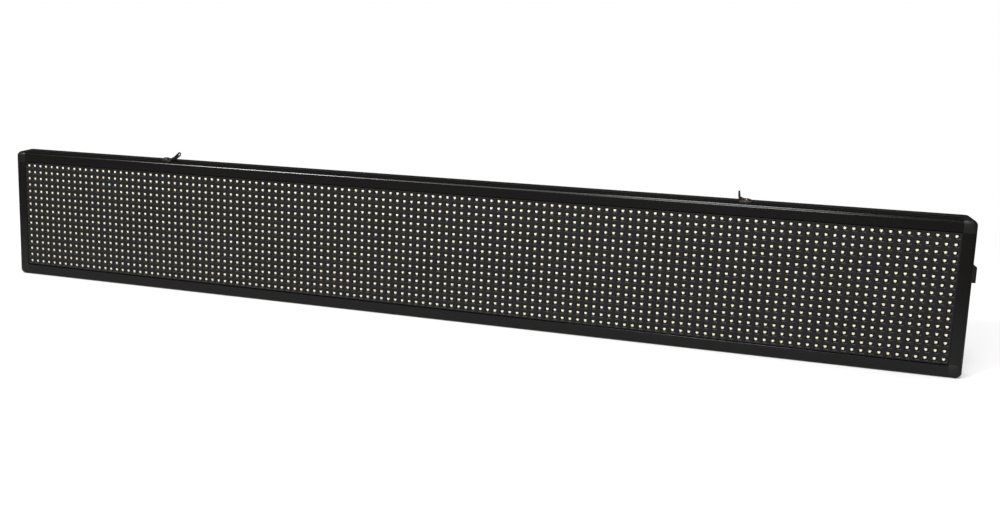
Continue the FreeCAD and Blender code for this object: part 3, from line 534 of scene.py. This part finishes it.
# Lamps: a domed lens with a flat top and a narrower foot, one in each window
lamp = {"radius": 2.0, "rise": 1.6, "lift": 0.5, "flatTop": 0.95, "stretch": 1.32, "segments": 16, "rings": 8,
        "weld": 0.01, "smooth": 60}


def lampTree():
    tree, keys, given, result = newTree("lampField", {
        "Pitch": "Float", "Columns": "Int", "Rows": "Int", "Radius": "Float", "Rise": "Float",
        "Flat Top": "Float", "Lift": "Float", "Stretch": "Float", "Segments": "Int", "Rings": "Int",
        "Weld": "Float", "Place": "Vector", "Finish": "Material",
    })
    ball = addNode(tree, "GeometryNodeMeshUVSphere", {
        "Segments": given["Segments"], "Rings": given["Rings"], "Radius": given["Radius"],
    })
    spot = addNode(tree, "GeometryNodeInputPosition").outputs[0]
    x, y, z = addNode(tree, "ShaderNodeSeparateXYZ", {0: spot}).outputs
    foot = mathNode(tree, "MULTIPLY", mathNode(tree, "MINIMUM", y, 0.0), given["Stretch"])
    crown = mathNode(tree, "MINIMUM", mathNode(tree, "MAXIMUM", y, 0.0), given["Flat Top"])
    upright = mathNode(tree, "ADD", mathNode(tree, "ADD", foot, crown), given["Lift"])
    tall = mathNode(tree, "MULTIPLY", mathNode(tree, "MAXIMUM", z, 0.0),
                    mathNode(tree, "DIVIDE", given["Rise"], given["Radius"]))
    shape = addNode(tree, "ShaderNodeCombineXYZ", {"X": x, "Y": upright, "Z": tall})
    lens = addNode(tree, "GeometryNodeSetPosition",
                   {"Geometry": ball.outputs[0], "Position": shape.outputs[0]})
    wide = mathNode(tree, "MULTIPLY", given["Pitch"], mathNode(tree, "SUBTRACT", given["Columns"], 1.0))
    high = mathNode(tree, "MULTIPLY", given["Pitch"], mathNode(tree, "SUBTRACT", given["Rows"], 1.0))
    grid = gridNode(tree, wide, high, given["Columns"], given["Rows"])
    lenses = addNode(tree, "GeometryNodeInstanceOnPoints",
                     {"Points": grid.outputs[0], "Instance": lens.outputs[0]})
    stood = addNode(tree, "GeometryNodeTransform", {
        "Geometry": lenses.outputs[0], "Translation": given["Place"], "Rotation": (math.pi / 2, 0, 0),
    })
    real = addNode(tree, "GeometryNodeRealizeInstances", {"Geometry": stood.outputs[0]})
    closed = addNode(tree, "GeometryNodeMergeByDistance",
                     {"Geometry": real.outputs[0], "Distance": given["Weld"]})
    dressed = addNode(tree, "GeometryNodeSetMaterial",
                      {"Geometry": closed.outputs[0], "Material": given["Finish"]})
    link(tree, dressed.outputs[0], result)
    return tree, keys


def makeLamps():
    tree, keys = lampTree()
    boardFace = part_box("lamps_1")[1].y
    for module in range(panel["modules"]):
        name = f"lampField{module + 1}"
        mesh = grown(name, tree, keys, fieldValues(module, boardFace) | {
            "Radius": lamp["radius"] * mm, "Rise": lamp["rise"] * mm, "Flat Top": lamp["flatTop"] * mm,
            "Lift": lamp["lift"] * mm, "Stretch": lamp["stretch"], "Segments": lamp["segments"],
            "Rings": lamp["rings"], "Weld": lamp["weld"] * mm, "Finish": finishes["lamp"],
        })
        shown(objectFrom(name, mesh, finishes["lamp"], lamp["smooth"]), "lamp", f"lamps_{module + 1}")


makeLamps()
print("stage: lamps made")


# Rails: the extrusion's outline with fine rounding, pushed to its length
rail = {"round": 4.8, "roundSteps": 12, "nick": 0.22, "nickSteps": 3, "grooveFront": 8.5, "grooveRear": 14.5,
        "undercut": 2, "neck": 1.4, "floor": 3.6, "ledge": 7, "step": 1.4, "cornerRise": 16.5,
        "smooth": 32}


def railOutline():  # seen from the end: y back from the front face, z out from the inner edge
    bar, depth, nick = panel["bar"], panel["depth"], rail["nick"]
    front, rear = rail["grooveFront"], rail["grooveRear"]
    neck, floor = bar - rail["neck"], bar - rail["floor"]
    step = depth - rail["step"]
    spots = [(nick, 0), (0, nick)]
    spots += arc((rail["round"], bar - rail["round"]), rail["round"], 180, 90, rail["roundSteps"])
    spots += [(front - nick, bar), (front, bar - nick), (front, neck), (front - rail["undercut"], neck),
              (front - rail["undercut"], floor), (rear + rail["undercut"], floor),
              (rear + rail["undercut"], neck), (rear, neck), (rear, bar - nick), (rear + nick, bar)]
    spots += arc((depth - 2 * nick, bar - 2 * nick), 2 * nick, 90, 0, rail["nickSteps"])
    spots += [(depth, rail["ledge"] + nick), (depth - nick, rail["ledge"]), (step, rail["ledge"]),
              (step, nick), (step - nick, 0)]
    return spots


def makeRails():
    half, bar, front, high = panel["halfField"], panel["bar"], panel["front"], panel["high"]
    rise = rail["cornerRise"]
    spots = railOutline()
    across, upright = (2 * half, 0, 0), (0, 0, high - 2 * rise)
    runs = {
        "topRail": ("top_rail", "rail", [(-half, front + y, high - bar + z) for y, z in spots], across),
        "bottomRail": ("bottom_rail", "rail", [(-half, front + y, bar - z) for y, z in spots], across),
        "rightRail": ("right_rail", "sideRail", [(half + z, front + y, rise) for y, z in spots], upright),
        "leftRail": ("left_rail", "sideRail", [(-half - z, front + y, rise) for y, z in spots], upright),
    }
    for name, (node, finish, loop, way) in runs.items():
        build = pushed(loop, way)
        bmesh.ops.triangulate(build, faces=[face for face in build.faces if len(face.verts) > 4])
        shown(objectFrom(name, meshFrom(name, build), finishes[finish], rail["smooth"]), "rail", node)


makeRails()
print("stage: rails made")


# Corners: moulded blocks with rounded outer edges, and the tongues that plug into the rails
corner = {"turn": 7.5, "turnSteps": 8, "roundSteps": 9, "nick": 0.45, "nickSteps": 2, "sharp": 60,
          "tongue": 42, "root": 1, "fit": 1.55, "near": 0.01, "smooth": 40}


def cornerBlock():  # the upper right corner, which the others mirror
    half, bar, high = panel["halfField"], panel["bar"], panel["high"]
    front, depth = panel["front"], panel["depth"]
    low = high - rail["cornerRise"]
    radius = corner["turn"]
    turn = arc((half + bar - radius, high - radius), radius, 0, 90, corner["turnSteps"])
    outline = [(half, low), (half + bar, low), *turn, (half, high)]
    build = pushed([(x, front, z) for x, z in outline], (0, depth, 0))

    def outside(edge):  # an edge of the front face that no rail meets
        spots = [vert.co / mm for vert in edge.verts]
        atFront = all(abs(spot.y - front) < corner["near"] for spot in spots)
        atSide = all(abs(spot.x - half) < corner["near"] for spot in spots)
        atFoot = all(abs(spot.z - low) < corner["near"] for spot in spots)
        return atFront and not atSide and not atFoot

    softened(build, outside, rail["round"], corner["roundSteps"])
    softened(build, sharper(corner["sharp"]), corner["nick"], corner["nickSteps"])
    fit, long, root = corner["fit"], corner["tongue"], corner["root"]
    ahead, behind = front + fit, front + depth - rail["step"] - fit
    wide = bar - rail["floor"] - fit
    along = boxed((half - long, ahead, high - bar + fit), (half + root, behind, high - bar + wide))
    down = boxed((half + fit, ahead, low - long), (half + wide, behind, low + root))
    return merged([build, along, down])


def makeCorners():
    middle = Vector((0, 0, panel["middle"] * mm))
    flipAcross = Matrix.Diagonal((-1, 1, 1, 1))
    flipDown = Matrix.Translation(middle) @ Matrix.Diagonal((1, 1, -1, 1)) @ Matrix.Translation(-middle)
    for name, node, matrix in (
        ("cornerUpperRight", "corner_upper_right", Matrix.Identity(4)),
        ("cornerUpperLeft", "corner_upper_left", flipAcross),
        ("cornerLowerRight", "corner_lower_right", flipDown),
        ("cornerLowerLeft", "corner_lower_left", flipDown @ flipAcross),
    ):
        mesh = meshFrom(name, turnedBy(cornerBlock(), matrix))
        shown(objectFrom(name, mesh, finishes["corner"], corner["smooth"]), "corner", node)


makeCorners()
print("stage: corners made")


# Hanging ears: a folded foot, an ear with a slotted eye, and a small web between them
hanger = {"place": 394, "sheet": 2, "foot": 15, "deep": 17, "footRound": 2, "earBack": 11.98,
          "earUp": 6, "round": 3.1, "reach": 3.57, "eyeLong": 7, "eyeTall": 3.4, "webWide": 6, "webTall": 3,
          "webSink": 0.2, "webThin": 0.1, "webSharp": 28, "webBevel": 0.2, "webSteps": 2, "bevel": 0.25,
          "holeFit": 0.1, "holeSides": 16, "smooth": 35}
bolt = {"inFoot": 8.5, "head": 3.6, "rise": 2.6, "edge": 0.2, "chamfer": 0.4, "shank": 2.1, "long": 5.2,
        "lift": 0.02, "key": 1.75, "keyEdge": 0.2, "keyDeep": 1.3, "sides": 24, "smooth": 35}
grooveMiddle = panel["front"] + (rail["grooveFront"] + rail["grooveRear"]) / 2
boltPlace = (hanger["place"] + bolt["inFoot"], grooveMiddle)


def makeHangers():
    high, sheet, reach = panel["high"], hanger["sheet"], hanger["reach"]
    near, far = hanger["place"], hanger["place"] + hanger["foot"]
    ahead, behind = -hanger["deep"] / 2, hanger["deep"] / 2
    lean = math.atan(hanger["earUp"] / (hanger["earBack"] + behind))
    eye = Vector((behind + hanger["earBack"], high + hanger["earUp"]))
    way = Vector((math.cos(lean), math.sin(lean))) * reach
    side = Vector((-math.sin(lean), math.cos(lean))) * reach
    ear = roundedLoop([(ahead, high), (behind, high), tuple(eye + way - side), tuple(eye + way + side)],
                      [0, 0, hanger["round"], hanger["round"]])
    slot = slotLoop(eye, hanger["eyeLong"], hanger["eyeTall"], lean)
    earPlate = plate("ear", [ear, slot], sheet, hanger["bevel"])
    upright = Matrix(((0, 0, 1, 0), (1, 0, 0, 0), (0, 1, 0, 0), (0, 0, 0, 1)))
    turnedBy(earPlate, shifted(near + sheet / 2, 0, 0) @ upright)
    foot = roundedLoop([(near, ahead), (far, ahead), (far, behind), (near, behind)],
                       [0, hanger["footRound"], hanger["footRound"], 0])
    hole = circle(boltPlace, bolt["shank"] + hanger["holeFit"], hanger["holeSides"])
    footPlate = plate("foot", [foot, hole], sheet, hanger["bevel"])
    turnedBy(footPlate, shifted(0, 0, high + sheet / 2))
    level, inner, rear = high + sheet - hanger["webSink"], near + sheet - hanger["webSink"], behind - sheet
    web = pushed([(inner, rear, level), (inner + hanger["webWide"], rear, level),
                  (inner, rear, level + hanger["webTall"])], (0, sheet - hanger["webThin"], 0))
    softened(web, sharper(hanger["webSharp"]), hanger["webBevel"], hanger["webSteps"])
    right = meshFrom("hangerRight", merged([earPlate, footPlate, web]))
    mirrored = bmesh.new()
    mirrored.from_mesh(right)
    turnedBy(mirrored, Matrix.Diagonal((-1, 1, 1, 1)))
    left = meshFrom("hangerLeft", mirrored)
    smooth = hanger["smooth"]
    shown(objectFrom("hangerRight", right, finishes["hanger"], smooth), "hanger", "hanger_right")
    shown(objectFrom("hangerLeft", left, finishes["hanger"], smooth), "hanger", "hanger_left")


def boltHead():
    shank, head, rise, key, lift = bolt["shank"], bolt["head"], bolt["rise"], bolt["key"], bolt["lift"]
    return lathe([
        (shank, -bolt["long"]), (shank, lift), (head - bolt["edge"], lift), (head, bolt["edge"]),
        (head, rise - bolt["chamfer"]), (head - bolt["chamfer"], rise), (key + bolt["keyEdge"], rise),
        (key, rise - bolt["keyEdge"]), (key, rise - bolt["keyDeep"]),
    ], bolt["sides"])


def makeBolts():
    place = shifted(*boltPlace, panel["high"] + hanger["sheet"])
    pair = [turnedBy(boltHead(), place), turnedBy(boltHead(), Matrix.Diagonal((-1, 1, 1, 1)) @ place)]
    mesh = meshFrom("hangerBolts", merged(pair))
    shown(objectFrom("hangerBolts", mesh, finishes["steel"], bolt["smooth"]), "bright_steel", "hanger_bolts")


makeHangers()
makeBolts()
print("stage: hanging ears made")


# Power inlet: the bevelled housing, its socket with a centre pin, and the neck through the rail
inlet = {"stand": 7, "front": -1, "deep": 15.5, "middle": 126.5, "tall": 23.4, "bevel": 4.2, "brim": 1,
         "edge": 0.7, "edgeSteps": 3, "edgeFrom": 0.5, "bore": 2.85, "boreDeep": 6.5, "rim": 4.1,
         "dish": 0.7, "over": 0.3, "clear": 1, "sides": 32, "neck": 5.3, "neckEdge": 0.4, "neckSides": 8,
         "inside": 7, "smooth": 32}
pin = {"radius": 1.0, "foot": 6.4, "short": 2.5, "tipLong": 0.5, "tip": 0.55, "sides": 20, "smooth": 40}


def alongX(build, x):
    y = inlet["front"] + inlet["deep"] / 2
    return turnedBy(build, shifted(x, y, inlet["middle"]) @ Matrix.Rotation(math.pi / 2, 4, "Y"))


def makeInlet():
    wall, front = panel["halfField"] + panel["bar"], inlet["front"]
    face = wall + inlet["stand"]
    low, high = inlet["middle"] - inlet["tall"] / 2, inlet["middle"] + inlet["tall"] / 2
    build = pushed([(wall, front, low), (face, front, low), (face, front, high - inlet["bevel"]),
                    (wall + inlet["brim"], front, high), (wall, front, high)], (0, inlet["deep"], 0))
    softened(build, lambda edge: min(vert.co.x for vert in edge.verts) > (wall + inlet["edgeFrom"]) * mm,
             inlet["edge"], inlet["edgeSteps"])
    housing = objectFrom("inletHousing", meshFrom("inletHousing", build), finishes["inlet"])
    rim, bore, neck, neckSides = inlet["rim"], inlet["bore"], inlet["neck"], inlet["neckSides"]
    dish = lathe([(rim - inlet["dish"], -inlet["dish"]), (rim + inlet["over"], inlet["over"])],
                 inlet["sides"])
    hollow = lathe([(bore, -inlet["boreDeep"]), (bore, inlet["clear"])], inlet["sides"])
    cutBy(housing, [alongX(dish, face), alongX(hollow, face)])
    through = lathe([(neck - inlet["neckEdge"], -inlet["neckEdge"]), (neck, 0),
                     (neck, panel["bar"] + inlet["inside"])], neckSides, math.pi / neckSides)
    whole = bmesh.new()
    whole.from_mesh(housing.data)
    both = merged([whole, alongX(through, panel["halfField"] - inlet["inside"])])
    bpy.data.objects.remove(housing)
    mesh = meshFrom("powerInlet", both)
    shown(objectFrom("powerInlet", mesh, finishes["inlet"], inlet["smooth"]), "inlet", "power_inlet")
    centre = lathe([(pin["radius"], -pin["foot"]), (pin["radius"], -pin["short"] - pin["tipLong"]),
                    (pin["radius"] * pin["tip"], -pin["short"])], pin["sides"])
    mesh = meshFrom("socketPin", alongX(centre, face))
    shown(objectFrom("socketPin", mesh, finishes["steel"], pin["smooth"]), "bright_steel")


makeInlet()
print("stage: inlet made")


# Back cover: the sheet with rounded vent slots, and its screws
cover = {"gap": 0.5, "thick": 1.2, "bevel": 0.2, "ventX": 480, "ventLong": 32, "ventTall": 3,
         "ventPitch": 8, "ventCount": 4, "hole": 1.45, "holeSides": 12, "smooth": 35}
screw = {"spanX": 960, "along": 3, "inset": 12, "seed": 7, "sides": 24, "shank": 1.35, "long": 6,
         "tip": 0.6, "tipLong": 1, "head": 2.9, "edge": 0.1, "brim": 0.25, "rise": 1.8, "domeFoot": 0.3,
         "dome": 0.98, "domeEdge": 0.02, "flat": 0.5, "domeAngles": (15, 30, 45, 60, 75),
         "slotLong": 3.4, "slotWide": 0.8, "slotDeep": 0.9, "slotClear": 2.1, "smooth": 35}
coverFront = panel["front"] + panel["depth"] - rail["step"]


def makeCover():
    gap, ledge = cover["gap"], rail["ledge"]
    inner, far = panel["halfField"] - gap, panel["halfField"] + ledge - gap
    low, notchLow = panel["bar"] - ledge + gap, rail["cornerRise"] + gap
    high, notchHigh = panel["high"] - low, panel["high"] - notchLow
    outlines = [[(-inner, low), (inner, low), (inner, notchLow), (far, notchLow), (far, notchHigh),
                 (inner, notchHigh), (inner, high), (-inner, high), (-inner, notchHigh), (-far, notchHigh),
                 (-far, notchLow), (-inner, notchLow)]]
    for side in (-1, 1):
        for slot in range(cover["ventCount"]):
            level = panel["middle"] + cover["ventPitch"] * (slot - (cover["ventCount"] - 1) / 2)
            outlines.append(slotLoop((side * cover["ventX"], level), cover["ventLong"], cover["ventTall"]))
    for side in (-1, 0, 1):
        for level in (screw["inset"], panel["high"] - screw["inset"]):
            outlines.append(circle((side * screw["spanX"] / 2, level), cover["hole"], cover["holeSides"]))
    sheet = plate("coverSheet", outlines, cover["thick"], cover["bevel"])
    turnedBy(sheet, shifted(0, coverFront + cover["thick"] / 2, 0) @ Matrix.Rotation(math.pi / 2, 4, "X"))
    mesh = meshFrom("coverSheet", sheet)
    shown(objectFrom("coverSheet", mesh, finishes["cover"], cover["smooth"]), "cover", "back_cover")


def screwHead():  # a pan head with a cross recess, standing along z from under its head
    head, rise, shank, long = screw["head"], screw["rise"], screw["shank"], screw["long"]
    foot = screw["domeFoot"]
    rings = [(shank * screw["tip"], -long), (shank, -long + screw["tipLong"]), (shank, 0),
             (head - screw["edge"], 0), (head, screw["brim"])]
    for angle in map(math.radians, screw["domeAngles"]):
        rings.append((head * math.cos(angle) * screw["dome"] + screw["domeEdge"],
                      foot + (rise - foot) * math.sin(angle)))
    rings.append((screw["flat"], rise))
    mesh = meshFrom("screwMaster", lathe(rings, screw["sides"]))
    deep, clear = rise - screw["slotDeep"], rise + screw["slotClear"]
    tools = [boxed((-x / 2, -y / 2, deep), (x / 2, y / 2, clear))
             for x, y in ((screw["slotLong"], screw["slotWide"]), (screw["slotWide"], screw["slotLong"]))]
    return cutBy(objectFrom("screwMaster", mesh, finishes["screw"]), tools)


def screwTree():
    tree, keys, given, result = newTree("screwRow", {
        "Master": "Object", "Wide": "Float", "Tall": "Float", "Along": "Int", "Place": "Vector",
        "Seed": "Int", "Finish": "Material",
    })
    grid = gridNode(tree, given["Wide"], given["Tall"], given["Along"], 2)
    source = addNode(tree, "GeometryNodeObjectInfo", {"Object": given["Master"]})
    turn = addNode(tree, "FunctionNodeRandomValue", {"Seed": given["Seed"], 2: 0, 3: math.pi},
                   data_type="FLOAT")
    spin = addNode(tree, "ShaderNodeCombineXYZ", {"Z": turn.outputs[1]})
    screws = addNode(tree, "GeometryNodeInstanceOnPoints", {
        "Points": grid.outputs[0], "Instance": source.outputs["Geometry"], "Rotation": spin.outputs[0],
    })
    stood = addNode(tree, "GeometryNodeTransform", {
        "Geometry": screws.outputs[0], "Translation": given["Place"], "Rotation": (-math.pi / 2, 0, 0),
    })
    real = addNode(tree, "GeometryNodeRealizeInstances", {"Geometry": stood.outputs[0]})
    dressed = addNode(tree, "GeometryNodeSetMaterial",
                      {"Geometry": real.outputs[0], "Material": given["Finish"]})
    link(tree, dressed.outputs[0], result)
    return tree, keys


def makeScrews():
    master = screwHead()
    tree, keys = screwTree()
    tall, seat = panel["high"] - 2 * screw["inset"], coverFront + cover["thick"]
    mesh = grown("coverScrews", tree, keys, {
        "Master": master, "Wide": screw["spanX"] * mm, "Tall": tall * mm, "Along": screw["along"],
        "Place": (0, seat * mm, panel["middle"] * mm), "Seed": screw["seed"], "Finish": finishes["screw"],
    })
    bpy.data.objects.remove(master)
    shown(objectFrom("coverScrews", mesh, finishes["screw"], screw["smooth"]), "screw", "cover_screws")


makeCover()
makeScrews()
print("stage: cover and screws made")


# Pieces that keep their CAD mesh
carried = {
    "board": ("board_", "controller_card"), "moulding": ("module_frame_", "ribbon_sockets"),
    "zinc": ("crossbar_",), "screw": ("module_screws",), "brass": ("card_posts", "inlet_nut"),
    "steel": ("hanger_nuts",), "nylon": ("power_headers", "power_plugs"), "ribbon": ("ribbon_cable_",),
    "lead": ("power_lead",),
}
for finish, starts in carried.items():
    for name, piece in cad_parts.items():
        if name.startswith(starts):
            piece.data.materials.clear()
            piece.data.materials.append(finishes[finish])
print("stage: inner pieces dressed")


# Floor, light and camera, in metres and watts; glossy rays see the floor and the sky darker
studio = {"floorSize": 14, "floorColour": (0.9, 0.9, 0.9), "floorRough": 0.9, "floorShine": 0.1,
          "halfLong": 0.65, "near": 0.35, "far": 1.0,  # from near to far the floor turns into plain white
          "shineNear": 0.1, "shineFar": 0.5, "shineFirst": 0.32, "shineLeft": 0.07,
          "skyGlow": 0.77, "skyShine": 0.05}
lights = {
    "leftHigh": {"place": (-1.22, -1.9, 1.6), "aim": (-0.3, 0, 0.1), "size": (0.72, 0.35), "power": 43},
    "frontSoft": {"place": (0, -2.6, 2.4), "aim": (0, 0, 0.1), "size": (2.2, 2.0), "power": 29},
    "frontHigh": {"place": (0.45, -1.0, 2.2), "aim": (0.35, 0, 0.1), "size": (0.6, 0.5), "power": 14},
    "frontLow": {"place": (0.5, -2.4, 0.85), "aim": (0.35, 0, 0.1), "size": (0.7, 0.4), "power": 12},
}
shot = {"place": (0.3155, -1.2881, 0.4268), "turn": (81.445, -1.081, 17.159), "lens": 35.506, "sensor": 36,
        "shift": (0.1223, -0.1097), "reach": 60}


def makeFloor():
    build = bmesh.new()
    bmesh.ops.create_grid(build, x_segments=2, y_segments=2, size=studio["floorSize"] / 2)
    mesh = meshFrom("floor", build)
    if mesh.polygons[0].normal.z < 0:
        mesh.flip_normals()
    made = bpy.data.materials.new("floorSweep")
    made.use_nodes = True
    tree = made.node_tree
    place = addNode(tree, "ShaderNodeTexCoord").outputs["Object"]
    x, y, z = addNode(tree, "ShaderNodeSeparateXYZ", {0: place}).outputs
    past = mathNode(tree, "SUBTRACT", mathNode(tree, "ABSOLUTE", x), studio["halfLong"])
    beside = mathNode(tree, "MAXIMUM", past, 0.0)
    away = mathNode(tree, "SQRT", mathNode(tree, "ADD", mathNode(tree, "MULTIPLY", beside, beside),
                                           mathNode(tree, "MULTIPLY", y, y)))  # metres from the panel
    ray = addNode(tree, "ShaderNodeLightPath").outputs
    dimmed = rangeNode(tree, away, studio["shineFirst"], studio["shineLeft"], studio["shineNear"],
                       studio["shineFar"])
    lost = mathNode(tree, "MULTIPLY", mathNode(tree, "SUBTRACT", dimmed, 1.0), ray["Is Glossy Ray"])
    tone = addNode(tree, "ShaderNodeVectorMath", {
        0: studio["floorColour"], "Scale": mathNode(tree, "ADD", lost, 1.0),
    }, operation="SCALE")
    shader = tree.nodes["Principled BSDF"]
    feed(tree, shader, {"Base Color": tone.outputs[0], "Roughness": studio["floorRough"],
                        "Specular IOR Level": studio["floorShine"]})
    cleared = rangeNode(tree, away, 0, 1, studio["near"], studio["far"])
    blend = addNode(tree, "ShaderNodeMixShader", {
        0: mathNode(tree, "MULTIPLY", cleared, ray["Is Camera Ray"]), 1: shader.outputs[0],
        2: addNode(tree, "ShaderNodeEmission").outputs[0],
    })
    link(tree, blend.outputs[0], tree.nodes["Material Output"].inputs["Surface"])
    objectFrom("floor", mesh, made, 0)


def makeLights():
    for name, look in lights.items():
        light = bpy.data.lights.new(name, "AREA")
        light.shape = "RECTANGLE"
        light.size, light.size_y = look["size"]
        light.energy = look["power"]
        spot = bpy.data.objects.new(name, light)
        world.collection.objects.link(spot)
        spot.location = look["place"]
        way = Vector(look["aim"]) - Vector(look["place"])
        spot.rotation_euler = way.to_track_quat("-Z", "Y").to_euler()
    sky = bpy.data.worlds.new("studio")
    sky.use_nodes = True
    world.world = sky
    tree = sky.node_tree
    ray = addNode(tree, "ShaderNodeLightPath").outputs
    skyLightAndPaintedGlow = rangeNode(tree, ray["Is Glossy Ray"], studio["skyGlow"], studio["skyShine"], 0, 1)
    feed(tree, tree.nodes["Background"], {
        "Color": (1, 1, 1, 1), "Strength": mathNode(tree, "MAXIMUM", skyLightAndPaintedGlow, ray["Is Camera Ray"]),
    })


def makeCamera():
    eye = bpy.data.cameras.new("photoCamera")
    eye.lens = shot["lens"]
    eye.sensor_width = shot["sensor"]
    eye.shift_x, eye.shift_y = shot["shift"]
    eye.clip_end = shot["reach"]
    holder = bpy.data.objects.new("photoCamera", eye)
    world.collection.objects.link(holder)
    holder.location = shot["place"]
    holder.rotation_euler = [math.radians(angle) for angle in shot["turn"]]
    world.camera = holder


makeFloor()
makeLights()
makeCamera()
world.view_settings.view_transform = "Standard"
print("stage: floor, light and camera made")
